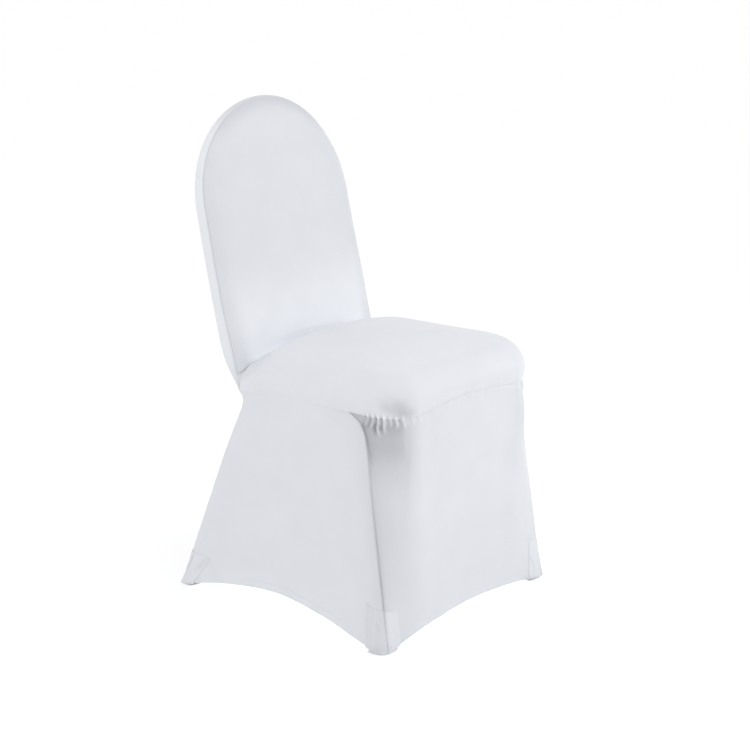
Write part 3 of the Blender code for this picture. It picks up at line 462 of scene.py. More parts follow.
def pad_sections(starts):
    """Nine-point sections of the seat panel, from its seam over the edge to the middle line."""
    middle_y = np.maximum(starts[:, 1] - PAD_MIDDLE_AHEAD, PAD_FRONT_Y + PAD_MIDDLE_FROM_FRONT)
    middle_y = np.minimum(middle_y, BACK_Y - PAD_MIDDLE_FROM_CREASE)
    inward = xyz(-starts[:, 0], middle_y - starts[:, 1], 0.0)
    length = np.linalg.norm(inward, axis=1)
    inward /= length[:, None]
    edge_z, _ = pad_top(starts[:, 1] + inward[:, 1] * PAD_EDGE_WIDTH)
    columns = [starts]
    for inset, rise in PAD_EDGE:
        point = starts + inward * inset
        point[:, 2] = starts[:, 2] + (edge_z - starts[:, 2]) * rise
        columns.append(point)
    for share in TOP_SHARES:
        point = starts + inward * (PAD_EDGE_WIDTH + (length - PAD_EDGE_WIDTH) * share)[:, None]
        edge_z, middle_z = pad_top(point[:, 1])
        point[:, 2] = edge_z + (middle_z - edge_z) * (1 - (1 - share) ** 2)
        columns.append(point)
    columns[-1] = xyz(0.0, middle_y, pad_top(middle_y)[1])
    return across_section(np.stack(columns, axis=1))


STRIP_STEPS = 12


def seat_half():
    """Left half of the seat panel, rows from the crease round to the middle of the front."""
    first = crease(FINE_FACE - 1)
    sides = pad_sections(PAD_SIDE)
    strip = [mix(first, sides[0], i / STRIP_STEPS) for i in range(STRIP_STEPS)]
    return np.concatenate((np.array(strip), sides, pad_sections(FRONT_SEAM)[1:]))


def outside_back_lower():
    """Left rows of the outside back below the arch, from the strip beside the seat to the hem."""
    drop = DROPS
    seam = rear_corner_seam(drop)
    start = REAR_SEAM_TURN
    radius = mix(WAIST_RADIUS, FOOT_RADIUS, drop)
    columns = [seam]
    for i in range(3):
        turn = start + (math.pi / 2 - start) * (i + 1) / 3
        across = radius * (math.cos(start) - math.cos(turn))
        columns.append(seam + xyz(across, radius * (math.sin(turn) - math.sin(start)), 0.0))
    columns.append(columns[-1] + (REAR_FLAT, 0.0, 0.0))
    waist, hem = np.array((0.0, WAIST_MID_Y, WAIST_MID_Z)), np.array((0.0, FOOT_REAR_Y - REAR_SAG, HEM_Z))
    end, begin = mix(waist, hem, drop[:, None]), columns[-1]
    for share in REAR_SHARES:
        bow = 1 - (1 - share) ** 2
        point = begin + (end - begin) * bow
        point[:, 0] = begin[:, 0] * (1 - share)
        point[:, 1] -= REAR_SAG * np.sin(math.pi * drop) * bow
        columns.append(point)
    for point in columns[1:]:
        share = (point[:, 0] + FOOT_X) / (2 * FOOT_X)
        point[:, 2] += (hem_height(share, HEM_RISE_REAR) - HEM_Z) * drop**REAR_HEM_POWER
    return across_section(np.stack(columns, axis=1))


# How softly the outside back turns above and below the strip beside the seat, over what length, and
# how far from its seam that begins
STRIP_SOFTNESS, STRIP_REACH, STRIP_BESIDE = 0.018, (0.055, 0.095), (0.0005, 0.012)
# How far the back's foot is drawn in and forward at each strip, over what length and how far across
FOOT_DRAWN_IN, FOOT_DRAWN_REACH = np.array((0.0030, 0.0040, 0.0)), 0.034
FOOT_DRAWN_ACROSS = (0.045, 0.10)


def eased_strips(grid, middle_row, foot_row):
    """The outside back with the turns at both ends of its two strips beside the seat made soft."""
    run, across = lengths(grid, 0).mean(axis=1), lengths(grid, 1)

    def gap_to(row):
        return np.minimum(np.abs(run - run[row]), np.abs(run - run[-1 - row]))

    spread_out = (run[:, None] - run[None, :]) / STRIP_SOFTNESS
    weight = np.exp(-0.5 * spread_out**2) * np.gradient(run)[None, :]
    soft = np.tensordot(weight / weight.sum(axis=1)[:, None], grid, axes=1)
    beside = ease(across, *STRIP_BESIDE)
    share = (1 - ease(gap_to(middle_row), *STRIP_REACH))[:, None] * beside
    drawn = bell(gap_to(foot_row), FOOT_DRAWN_REACH)[:, None] * beside
    drawn = drawn * (1 - ease(across, *FOOT_DRAWN_ACROSS))
    inward = xyz(-np.sign(grid[..., 0]), -1.0, 0.0)
    return mix(grid, soft, share[..., None]) + inward * FOOT_DRAWN_IN * drawn[..., None]


def outside_back():
    upper, legs = outside_back_upper(), outside_back_lower()
    strip = [mix(upper[0], legs[0], i / STRIP_STEPS) for i in range(1, STRIP_STEPS)]
    lower = np.concatenate((np.array(strip), legs))
    grid = np.concatenate((lower[::-1], upper, mirrored(lower)))
    return eased_strips(grid, len(lower) - STRIP_STEPS // 2, len(lower))


# Creases, seams and gathers

# Gathers under the front corners of the seat: how far along the pad's outline each valley lies from
# the corner seam, how deep and how wide it is, and how far it runs down the cloth
GATHERS_LEFT = (
    (0.0350, 0.0020, 0.0025, 0.020),
    (0.0457, 0.0036, 0.0025, 0.022),
    (0.0567, 0.0042, 0.0027, 0.034),
    (0.0672, 0.0038, 0.0027, 0.028),
    (0.0790, 0.0018, 0.0024, 0.017),
    (0.0880, 0.0026, 0.0026, 0.020),
    (0.0992, 0.0022, 0.0026, 0.017),
    (0.1170, 0.0014, 0.0024, 0.011),
    (0.1320, 0.0014, 0.0024, 0.011),
)
GATHERS_RIGHT = (
    (0.0400, 0.0030, 0.0027, 0.027),
    (0.0510, 0.0038, 0.0025, 0.030),
    (0.0615, 0.0034, 0.0027, 0.026),
    (0.0735, 0.0028, 0.0025, 0.030),
    (0.0850, 0.0020, 0.0026, 0.018),
    (0.1010, 0.0022, 0.0028, 0.019),
    (0.1210, 0.0013, 0.0026, 0.012),
)
GATHER_SLANT, GATHER_DEPTH, GATHER_RIDGE = -0.32, 0.95, 0.70
# How deep the gathers are at the seam itself, their reach above and growth below it, where along the
# pad's side they begin, and the share of its length at which a valley begins to fade
GATHER_AT_SEAM, GATHER_ABOVE, GATHER_GROWTH = 0.85, 0.0055, 0.006
GATHER_FROM_Y, GATHER_TAPER = (-0.10, -0.16), 0.62
# A ridge's place beside its valley and its width, both in valley widths
RIDGE_ASIDE, RIDGE_WIDTH = 2.1, 0.9
# Painted shade in a valley and painted highlight on a ridge of the gathers: for each metre of depth, and at
# most
VALLEY_PAINTED_SHADE, RIDGE_PAINTED_HIGHLIGHT = (50, 0.22), (190, 0.50)
# Recess under the gathers, behind the edge where the front panel comes forward again: depth, the
# heights between which it begins and ends, and its start beside the corner seam
RECESS_LEFT, RECESS_RIGHT = 0.014, 0.009
RECESS_EDGE, RECESS_TOP, RECESS_FOOT = (0.095, 0.118), (0.399, 0.380), (0.366, 0.166)
RECESS_POWER, RECESS_START = 1.5, (0.0, 0.011)
# Painted shade beside the front corner seam, for the shade in the hollow there: a dark edge that grows
# further down, a broad one behind it, and how both fade at the foot
SEAM_EDGE_PAINTED_SHADE, EDGE_GROWTH, EDGE_GROWTH_Z, EDGE_WIDTH = 0.10, 0.16, (0.34, 0.26), 0.012
BROAD_PAINTED_SHADE, BROAD_WIDTH = 0.17, 0.062
FOOT_FADE, FOOT_FADE_Z = 0.3, (0.16, 0.05)
# Painted shade in the hollow under the gathers, a sharp high patch and a soft low one: tone, end along the
# front, end downwards
HOLLOW_PAINTED_SHADE_PATCHES = (
    (0.17, (0.1040, 0.1115), (0.352, 0.318)),
    (0.27, (0.080, 0.160), (0.345, 0.262)),
)
# How strong the painted shade of each front corner's hollow is
HOLLOW_PAINTED_SHADE_LEFT, HOLLOW_PAINTED_SHADE_RIGHT = 1.0, 0.7


def plan_distance(points):
    """Distance along the pad's outline, from the left corner seam, and the way out of it."""
    x, y = points[..., 0], points[..., 1]
    middle_y = PAD_FRONT_Y + PAD_CORNER_RADIUS
    turn = np.arctan2(np.maximum(middle_y - y, 0.0), np.maximum(-PAD_FLAT - x, TINY))
    distance = PAD_STRAIGHT + PAD_CORNER_RADIUS * turn + np.maximum(x + PAD_FLAT, 0.0)
    distance = np.where(y > middle_y, CORNER_TOP[1] - y, distance)
    turn = np.where(y > middle_y, 0.0, turn)
    return distance, xyz(-np.cos(turn), -np.sin(turn), 0.0)


def gathered(grid, table, plain):
    """The left half of a panel with its gathers pressed in, and its valleys and ridges."""
    distance, out = plan_distance(plain)
    above = plain[..., 2] - seam_height(distance)
    place = distance - GATHER_SLANT * np.minimum(above, 0.0)
    over = GATHER_AT_SEAM * bell(np.maximum(above, 0.0), GATHER_ABOVE)
    under = least(below(above, 0.0, -GATHER_GROWTH), GATHER_AT_SEAM)
    start = np.where(above > 0, over, under) * below(grid[..., 1], *GATHER_FROM_Y)
    valleys, ridges = np.zeros_like(distance), np.zeros_like(distance)
    for at, deep, width, length in table:
        reach = GATHER_DEPTH * deep * start * (1 - below(above, -GATHER_TAPER * length, -length))
        valleys += reach * bell(place - at, width)
        ridges += reach * bell(place - at - RIDGE_ASIDE * width, RIDGE_WIDTH * width)
    return grid - out * (valleys - GATHER_RIDGE * ridges)[..., None], valleys, ridges


def gather_shade(valleys, ridges):
    # Painted shade in the valleys, less a painted highlight on the ridges
    dark = np.clip(valleys * VALLEY_PAINTED_SHADE[0], 0.0, VALLEY_PAINTED_SHADE[1])
    return dark - np.clip(ridges * RIDGE_PAINTED_HIGHLIGHT[0], 0.0, RIDGE_PAINTED_HIGHLIGHT[1])


def recessed(grid, depth):
    """The left half of the front panel with the cloth drawn in under the gathers."""
    distance, z = plan_distance(grid)[0], grid[..., 2]
    height = below(z, *RECESS_TOP) * (1 - below(z, *RECESS_FOOT)) ** RECESS_POWER
    across = ease(lengths(grid, 0), *RECESS_START) * (1 - ease(distance, *RECESS_EDGE))
    return grid + HOLLOW_DIRECTION * (depth * height * across)[..., None]


def hollow_shade(grid, strength):
    """Painted shade on the left half of the front panel beside its corner seam, for the light that its
    hollow loses.
    """
    distance, from_seam, z = plan_distance(grid)[0], lengths(grid, 0), grid[..., 2]
    edge = (SEAM_EDGE_PAINTED_SHADE + EDGE_GROWTH * below(z, *EDGE_GROWTH_Z)) * np.exp(-from_seam / EDGE_WIDTH)
    tone = (edge + BROAD_PAINTED_SHADE * bell(from_seam, BROAD_WIDTH)) * (1 - FOOT_FADE * below(z, *FOOT_FADE_Z))
    for dark, end, foot in HOLLOW_PAINTED_SHADE_PATCHES:
        tone = tone + dark * (1 - ease(distance, *end)) * (1 - below(z, *foot))
    return strength * tone


# Seams: seed of the puckers beside the stitches, how deep the thread draws the cloth in, and the
# height, the pitch and the reach of the puckers
STITCHES = {
    "inside_back": (1, 0.0013, 0.0006, 0.0062, 0.009),
    "outside_back": (2, 0.0012, 0.0004, 0.0066, 0.006),
    "pad": (4, 0.0007, 0.0006, 0.0075, 0.009),
    "front_corner": (5, 0.0014, 0.0003, 0.007, 0.008),
    "side_top": (7, 0.0002, 0.0002, 0.007, 0.008),
    "side_rear": (8, 0.0008, 0.0004, 0.007, 0.008),
    "side_front": (9, 0.0014, 0.0003, 0.007, 0.008),
}
STITCH_WIDTH, ROLL_SHARE, ROLL_AT, ROLL_WIDTH = 0.0017, 0.30, 0.0052, 0.0028
SMALL_PUCKER, SMALL_PITCH, SMALL_SEED = 0.5, 0.45, 50
# Hems: seed of their waves, the row of stitches, and the height, pitch and reach of the waves
HEM_SEEDS = {"outside_back": 3, "skirt_front": 6, "skirt_side": 10}
HEM_ROW, HEM_ROW_DEPTH, HEM_ROW_WIDTH = 0.013, 0.0004, 0.0012
HEM_WAVE, HEM_WAVE_PITCH, HEM_WAVE_REACH = 0.0005, 0.011, 0.016
# Painted shade in dark lines along seams, creases and edges, for the shade in their grooves: tone and width
PAINTED_SHADE_LINES = {
    "inside_back": (0.26, 0.0015),
    "outside_back": (0.20, 0.0015),
    "pad": (0.03, 0.0015),
    "crease": (0.05, 0.002),
    "hem_row": (0.06, 0.001),
    "hem_front": (0.10, 0.0025),
    "hem_side": (0.06, 0.0025),
    "front_corner": (0.30, 0.0020),
    "side_rear": (0.12, 0.0015),
    "side_front": (0.20, 0.0018),
    "pocket_corner": (0.30, 0.0026),
    "pocket_edge": (0.06, 0.0012),
}


def ripple(along, pitch, seed):
    """Uneven smooth waves between -1 and 1."""
    place = np.asarray(along) / pitch
    values = np.random.default_rng(seed).uniform(-1, 1, int(place.max()) + 3)
    i = np.floor(place).astype(int)
    return mix(values[i], values[i + 1], ease(place - i, 0.0, 1.0))


def sewn(distance, along, seam):
    """Height of the cloth beside a seam: drawn in at the stitches, with small uneven puckers."""
    seed, depth, pucker, pitch, reach = STITCHES[seam]
    stitch = bell(distance, STITCH_WIDTH)
    height = ROLL_SHARE * depth * bell(distance - ROLL_AT, ROLL_WIDTH) - depth * stitch
    waves = ripple(along, pitch, seed)
    waves = waves + SMALL_PUCKER * ripple(along, pitch * SMALL_PITCH, seed + SMALL_SEED)
    return height + pucker * waves * bell(distance, reach) * (1 - stitch)


def line_shade(distance, line):
    tone, width = PAINTED_SHADE_LINES[line]
    return tone * bell(distance, width)


def fold(grid, start, end, width, height):
    """Height of a soft ridge between two points, or of a trough where it is negative."""
    start, run = np.array(start), np.array(end) - np.array(start)
    share = np.clip(((grid - start) @ run) / (run @ run), 0.0, 1.0)
    distance = np.linalg.norm(grid - start - share[..., None] * run, axis=2)
    return height * least(np.sin(math.pi * share), FOLD_AT_ENDS) * bell(distance, width)


def hemmed(distance, along, hem):
    """Height of the cloth above a hem, with its row of stitches."""
    waves = HEM_WAVE * ripple(along, HEM_WAVE_PITCH, HEM_SEEDS[hem])
    return waves * bell(distance, HEM_WAVE_REACH) - HEM_ROW_DEPTH * bell(distance - HEM_ROW, HEM_ROW_WIDTH)


FOLD_AT_ENDS, FOLD_SHADE_WIDTH = 0.35, 1.3
REAR_FOOT_FOLD = ((-0.2394, 0.2087, 0.0315), (-0.2346, 0.1774, 0.0646), 0.0028, -0.0008, 0.20)
FAR_FOOT_FOLD = ((0.1605, -0.2606, 0.0154), (0.2026, -0.2616, 0.0068), 0.0040, 0.0, 0.16)
# Folds: start, end, width, height and the painted shade along each, for the shade in its trough, a painted
# highlight where it is below zero
FOLDS = {
    "inside_back": (
        ((-0.1917, 0.1429, 0.4928), (-0.1888, 0.1277, 0.4376), 0.0050, -0.0015, 0.05),
    ),
    "outside_back": (
        ((-0.1857, 0.2291, 0.7771), (-0.1883, 0.2181, 0.7696), 0.0022, -0.0008, 0.10),
        ((-0.1640, 0.2240, 0.8150), (-0.1731, 0.2415, 0.7802), 0.0022, 0.0010, -0.06),
    ),
    "seat_top": (
        ((-0.1888, 0.1242, 0.4245), (-0.1731, 0.1244, 0.4302), 0.0018, -0.0016, 0.10),
        ((-0.1898, 0.1150, 0.4193), (-0.1877, 0.1005, 0.4296), 0.0018, -0.0012, 0.08),
        ((-0.1905, -0.2330, 0.4320), (-0.1690, -0.2515, 0.4155), 0.0090, -0.0026, 0.36),
        ((-0.2000, -0.2150, 0.4290), (-0.1870, -0.2365, 0.4135), 0.0070, -0.0010, 0.24),
        ((-0.1860, -0.2390, 0.4110), (-0.1560, -0.2540, 0.4100), 0.0065, -0.0012, 0.32),
    ),
    "skirt_front": (
        ((0.1774, -0.2579, 0.0895), (0.2035, -0.2548, 0.0792), 0.0050, 0.0, 0.08),
        FAR_FOOT_FOLD,
    ),
    "skirt_left": (REAR_FOOT_FOLD,),
    "pocket_front_left": (
        ((-0.2366, -0.2375, 0.0579), (-0.2365, -0.2485, 0.0398), 0.0022, -0.0006, 0.14),
        ((-0.2340, -0.2364, 0.0799), (-0.2429, -0.2370, 0.0154), 0.0024, 0.0010, -0.08),
        ((-0.2444, -0.2396, 0.0047), (-0.2397, -0.2563, 0.0034), 0.0080, 0.0, 0.18),
        ((-0.2262, -0.2617, 0.0140), (-0.2222, -0.2617, 0.0030), 0.0030, 0.0, 0.20),
    ),
    "pocket_rear_left": (REAR_FOOT_FOLD,),
    "pocket_front_right": (
        ((0.1950, -0.2585, 0.0500), (0.2077, -0.2595, 0.0277), 0.0030, -0.0010, 0.18),
        ((0.2077, -0.2600, 0.0277), (0.2050, -0.2615, 0.0078), 0.0025, -0.0004, 0.10),
        FAR_FOOT_FOLD,
    ),
}


def fold_detail(name, grid):
    height, shade = np.zeros(grid.shape[:2]), np.zeros(grid.shape[:2])
    for *line, width, depth, dark in FOLDS.get(name, ()):
        height += fold(grid, *line, width, depth)
        # Painted shade along the fold, a little wider than its trough
        shade += fold(grid, *line, FOLD_SHADE_WIDTH * width, dark)
    return height, shade


# How much of a seam is left in the arch and above the gathers, and where it fades
SEAM_LEFT_IN_ARCH, SEAM_FADE_IN_ARCH = 0.15, (0.72, 0.90)
SEAM_LEFT_AT_GATHERS, SEAM_PLAIN_FROM = 0.25, (0.115, 0.150)
STRIP_SEAM_FADE, STRIP_SEAM_FOOT, STRIP_SEAM_HEAD = 0.85, (0.365, 0.380), (0.412, 0.432)
CREASE_SUNK, CREASE_WIDTH = 0.0008, 0.0022
# Painted shade and light on the inside back: painted shade along its sides, over its upper half and in its
# arch, and painted light just above the crease and where the seat throws light up onto it
SIDE_PAINTED_SHADE, SIDE_WIDTH = 0.12, 0.050
UPPER_PAINTED_SHADE, UPPER_FROM, UPPER_FADE, UPPER_TO = 0.085, (0.50, 0.64), 0.8, (0.79, 0.89)
ARCH_PAINTED_SHADE, ARCH_FROM, ARCH_WIDTH = 0.26, (0.55, 0.92), 0.022
CREASE_LIGHT, CREASE_LIGHT_WIDTH, CREASE_LIGHT_FROM = 0.36, 0.026, (0.015, 0.065)
SEAT_LIGHT, SEAT_LIGHT_Z, SEAT_LIGHT_REACH, SEAT_LIGHT_FROM = 0.40, 0.450, 0.115, (0.0, 0.05)
# Painted light and shade on the outside back: painted light up the strip at its side, and painted shade in
# its arch
STRIP_LIGHT, STRIP_LIGHT_FROM, STRIP_LIGHT_TO = 0.09, (0.41, 0.46), (0.80, 0.88)
OUTER_ARCH_FROM, OUTER_ARCH_WIDTH = (0.72, 0.92), 0.025
# Painted shade on the skirt: over its front, more of it downwards, with a corner line that fades upwards,
# and over its sides, more of it towards the front corner
FRONT_PAINTED_SHADE, FRONT_PAINTED_SHADE_LOW, FRONT_LOW_Z, FRONT_PAINTED_SHADE_FROM = 0.045, 0.035, (0.26, 0.06), (0.0, 0.06)
CORNER_LINE_FADE, CORNER_LINE_Z = 0.55, (0.16, 0.28)
SKIRT_SIDE_PAINTED_SHADE, CORNER_PAINTED_SHADE, CORNER_PAINTED_SHADE_WIDTH = 0.03, 0.17, 0.030


def seam_share(grid):
    """How plainly the seam round the front of the pad shows: not at its sides nor above the gathers."""
    distance, _ = plan_distance(xyz(-np.abs(grid[:, :1, 0]), grid[:, :1, 1], 0.0))
    return ease(distance, *SEAM_PLAIN_FROM)


def arch_share(rows, start, end):
    """For each row of a back panel, 0 below a part of the arch and 1 above it."""
    high = ease(UP, BACK_SHOULDER + start * BACK_ARCH, BACK_SHOULDER + end * BACK_ARCH)
    return np.pad(high, (rows - len(high)) // 2)[:, None]


def pad_seam(grid):
    """Height of the seat or the front beside the seam between them, and the painted shade of the seam line.
    """
    across, front = lengths(grid, 1), seam_share(grid)
    height = sewn(across, lengths(grid, 0)[:, :1], "pad") * least(front, SEAM_LEFT_AT_GATHERS)
    return height, line_shade(across, "pad") * front


def inside_back_detail(grid):
    across, gap, z = lengths(grid, 1), either_end(grid, 0), grid[..., 2]
    plain = 1 - arch_share(len(grid), *SEAM_FADE_IN_ARCH)
    height = sewn(across, lengths(grid, 0)[:, :1], "inside_back") * least(plain, SEAM_LEFT_IN_ARCH)
    height -= CREASE_SUNK * bell(gap, CREASE_WIDTH)
    shade = line_shade(across, "inside_back") * plain + line_shade(gap, "crease")
    # Painted shade along the sides, over the upper half and in the arch; painted light above the crease and
    # low down
    shade += SIDE_PAINTED_SHADE * np.exp(-across / SIDE_WIDTH)
    shade += UPPER_PAINTED_SHADE * ease(z, *UPPER_FROM) * (1 - UPPER_FADE * ease(z, *UPPER_TO))
    shade -= CREASE_LIGHT * bell(gap, CREASE_LIGHT_WIDTH) * ease(across, *CREASE_LIGHT_FROM)
    shade += ARCH_PAINTED_SHADE * arch_share(len(grid), *ARCH_FROM) * bell(across, ARCH_WIDTH)
    shade -= SEAT_LIGHT * bell(z - SEAT_LIGHT_Z, SEAT_LIGHT_REACH) * ease(across, *SEAT_LIGHT_FROM)
    return height, shade


def seat_top_detail(grid):
    gap = either_end(grid, 0)
    height, shade = pad_seam(grid)
    return height - CREASE_SUNK * bell(gap, CREASE_WIDTH), shade + line_shade(gap, "crease")


def outside_back_detail(grid):
    across, hem, z = lengths(grid, 1), either_end(grid, 0), grid[..., 2]
    beside_seat = ease(z[:, :1], *STRIP_SEAM_FOOT) * (1 - ease(z[:, :1], *STRIP_SEAM_HEAD))
    plain = (1 - arch_share(len(grid), *SEAM_FADE_IN_ARCH)) * (1 - STRIP_SEAM_FADE * beside_seat)
    height = sewn(across, lengths(grid, 0)[:, :1], "outside_back") * least(plain, SEAM_LEFT_IN_ARCH)
    height += hemmed(hem, across, "outside_back")
    shade = line_shade(across, "outside_back") * plain + line_shade(hem - HEM_ROW, "hem_row")
    # Painted light up the strip beside the seat, and painted shade in the arch
    shade -= STRIP_LIGHT * (1 - ease(z, *STRIP_LIGHT_TO)) * ease(z, *STRIP_LIGHT_FROM)
    shade += ARCH_PAINTED_SHADE * arch_share(len(grid), *OUTER_ARCH_FROM) * bell(across, OUTER_ARCH_WIDTH)
    return height, shade


def skirt_front_detail(grid):
    across, down, z = lengths(grid, 1), lengths(grid, 0), grid[..., 2]
    corner, hem = either_end(grid, 0), lengths(grid, 1, end=True)
    height, shade = pad_seam(grid)
    height += sewn(corner, across, "front_corner") + hemmed(hem, down, "skirt_front")
    shade = shade + line_shade(corner, "front_corner") * (1 - CORNER_LINE_FADE * ease(z, *CORNER_LINE_Z))
    shade += line_shade(hem - HEM_ROW, "hem_row") + line_shade(hem, "hem_front")
    # Painted shade over the front, more of it low down
    tone = FRONT_PAINTED_SHADE + FRONT_PAINTED_SHADE_LOW * below(z, *FRONT_LOW_Z)
    return height, shade + tone * ease(corner, *FRONT_PAINTED_SHADE_FROM)


def skirt_side_detail(grid):
    rear, down = lengths(grid, 1), lengths(grid, 0)
    front, hem = lengths(grid, 1, end=True), lengths(grid, 0, end=True)
    height = sewn(down, rear[:1], "side_top") + sewn(rear, down, "side_rear")
    height += sewn(front, down, "side_front") + hemmed(hem, rear, "skirt_side")
    # Painted shade in lines along the seams and hem, and over the side, more of it towards the front corner
    shade = line_shade(rear, "side_rear") + line_shade(front, "side_front")
    shade += line_shade(hem - HEM_ROW, "hem_row") + line_shade(hem, "hem_side")
    return height, shade + SKIRT_SIDE_PAINTED_SHADE + CORNER_PAINTED_SHADE * np.exp(-front / CORNER_PAINTED_SHADE_WIDTH)


DETAILS = {
    "inside_back": inside_back_detail,
    "outside_back": outside_back_detail,
    "seat_top": seat_top_detail,
    "skirt_front": skirt_front_detail,
    "skirt_left": skirt_side_detail,
    "skirt_right": skirt_side_detail,
}


def detail(name, grid):
    """How far each point of a panel stands out from its plain form, and the painted shade on the cloth,
    painted light where below zero.
    """
    height, shade = DETAILS[name](grid)
    fold_height, fold_shade = fold_detail(name, grid)
    return height + fold_height, shade + fold_shade


def full_width(halves):
    """A whole panel and its painted shade from its left half and the one that is mirrored to the right."""
    (left, left_shade), (right, right_shade) = halves
    left[-1, :, 0] = right[-1, :, 0] = 0.0
    points = np.concatenate((left, mirrored(right[-2::-1])))
    return points, np.concatenate((left_shade, right_shade[-2::-1]))


def panels():
    """Each panel's grid of points, and the painted shade that its gathers and hollows put on the cloth."""
    fronts, seats = [], []
    seat = seat_half()
    for hollow, table, recess, strength in (
        (HOLLOW_LEFT, GATHERS_LEFT, RECESS_LEFT, HOLLOW_PAINTED_SHADE_LEFT),
        (HOLLOW_RIGHT, GATHERS_RIGHT, RECESS_RIGHT, HOLLOW_PAINTED_SHADE_RIGHT),
    ):
        plain = skirt_front_half(hollow).transpose(1, 0, 2)
        front, *pressed = gathered(recessed(plain, recess), table, plain)
        fronts.append((front, hollow_shade(plain, strength) + gather_shade(*pressed)))
        top, *pressed = gathered(seat, table, seat)
        seats.append((top, gather_shade(*pressed)))
    side = skirt_side()
    return {
        "inside_back": (inside_back(), 0.0),
        "outside_back": (outside_back(), 0.0),
        "seat_top": full_width(seats),
        "skirt_front": full_width(fronts),
        "skirt_left": (side, 0.0),
        "skirt_right": (mirrored(side), 0.0),
    }


# Foot pockets

# Height of a pocket at its side edge and at its front or rear edge, reach along the side past the
# foot's rounding, the share of that reach at the top, and reach along the front or rear
POCKETS = {
    "pocket_front_left": (0.083, 0.068, 0.027, 0.52, 0.0350),
    "pocket_front_right": (0.080, 0.079, 0.030, 0.80, 0.0430),
    "pocket_rear_left": (0.065, 0.070, 0.034, 1.55, 0.0356),
    "pocket_rear_right": (0.069, 0.068, 0.034, 0.90, 0.0356),
}
POCKET_ROUNDING_FRONT, POCKET_ROUNDING_REAR = 0.020, 0.0126
POCKET_LIFT, POCKET_TUCK = 0.0010, 0.0003
POCKET_WIDTH, POCKET_BOW, POCKET_EDGE, POCKET_INNER_TOP = 0.008, 0.015, 0.0026, 0.034
# Steps between a pocket's points, the length that they are counted on up its wall, how far it takes
# to lift off the skirt at its edges, and the share of its height that its inner wall leans with
POCKET_STEP, POCKET_SLOPE, POCKET_LIFT_RUN, POCKET_LEAN_SHARE = 0.0024, 0.08, 0.0006, 0.4
POCKET_MIDDLE, IN_PLAN = np.array((0.8, 0.8, 1.0)), np.array((1.0, 1.0, 0.0))
# Painted shade on the front pockets, more of it on their side behind the corner, and on the rear pockets
POCKET_PAINTED_SHADE, POCKET_SIDE_PAINTED_SHADE, POCKET_SIDE_FROM, REAR_POCKET_PAINTED_SHADE = 0.055, 0.12, 0.004, 0.02


def corner_wall(name, skin):
    """The panels beside a foot's seam as one grid, rows down to the hem, and distances from the seam."""
    left = name.endswith("left")
    side = skin["skirt_left" if left else "skirt_right"]
    if "front" in name:
        end = skin["skirt_front"].transpose(1, 0, 2)[:, :: 1 if left else -1]
    else:
        side, rear, rows = side[:, ::-1], skin["outside_back"], len(DROPS)
        end = rear[:rows][::-1] if left else rear[-rows:]
    wall = np.concatenate((side, end[:, 1:]), axis=1)
    run = lengths(wall[-1:], 1)[0]
    return wall, run - run[side.shape[1] - 1]


def on_wall(wall, run, place, share, top):
    """A point this far from the seam along the hem, and this share of the way up to a height."""
    column = np.interp(place, run, np.arange(len(run)))
    first = min(int(column), len(run) - 2)
    line = mix(wall[::-1, first], wall[::-1, first + 1], column - first)
    z = line[0, 2] + (top - line[0, 2]) * share
    return np.array((np.interp(z, line[:, 2], line[:, 0]), np.interp(z, line[:, 2], line[:, 1]), z))


def plan_outward(points, middle):
    """Outward directions in plan along a line of points round a foot."""
    step = np.gradient(points[:, :2], axis=0)
    out = xyz(step[:, 1], -step[:, 0], 0.0)
    out /= np.linalg.norm(out, axis=1)[:, None]
    return out * np.sign(((points - middle) * out).sum(axis=1))[:, None]


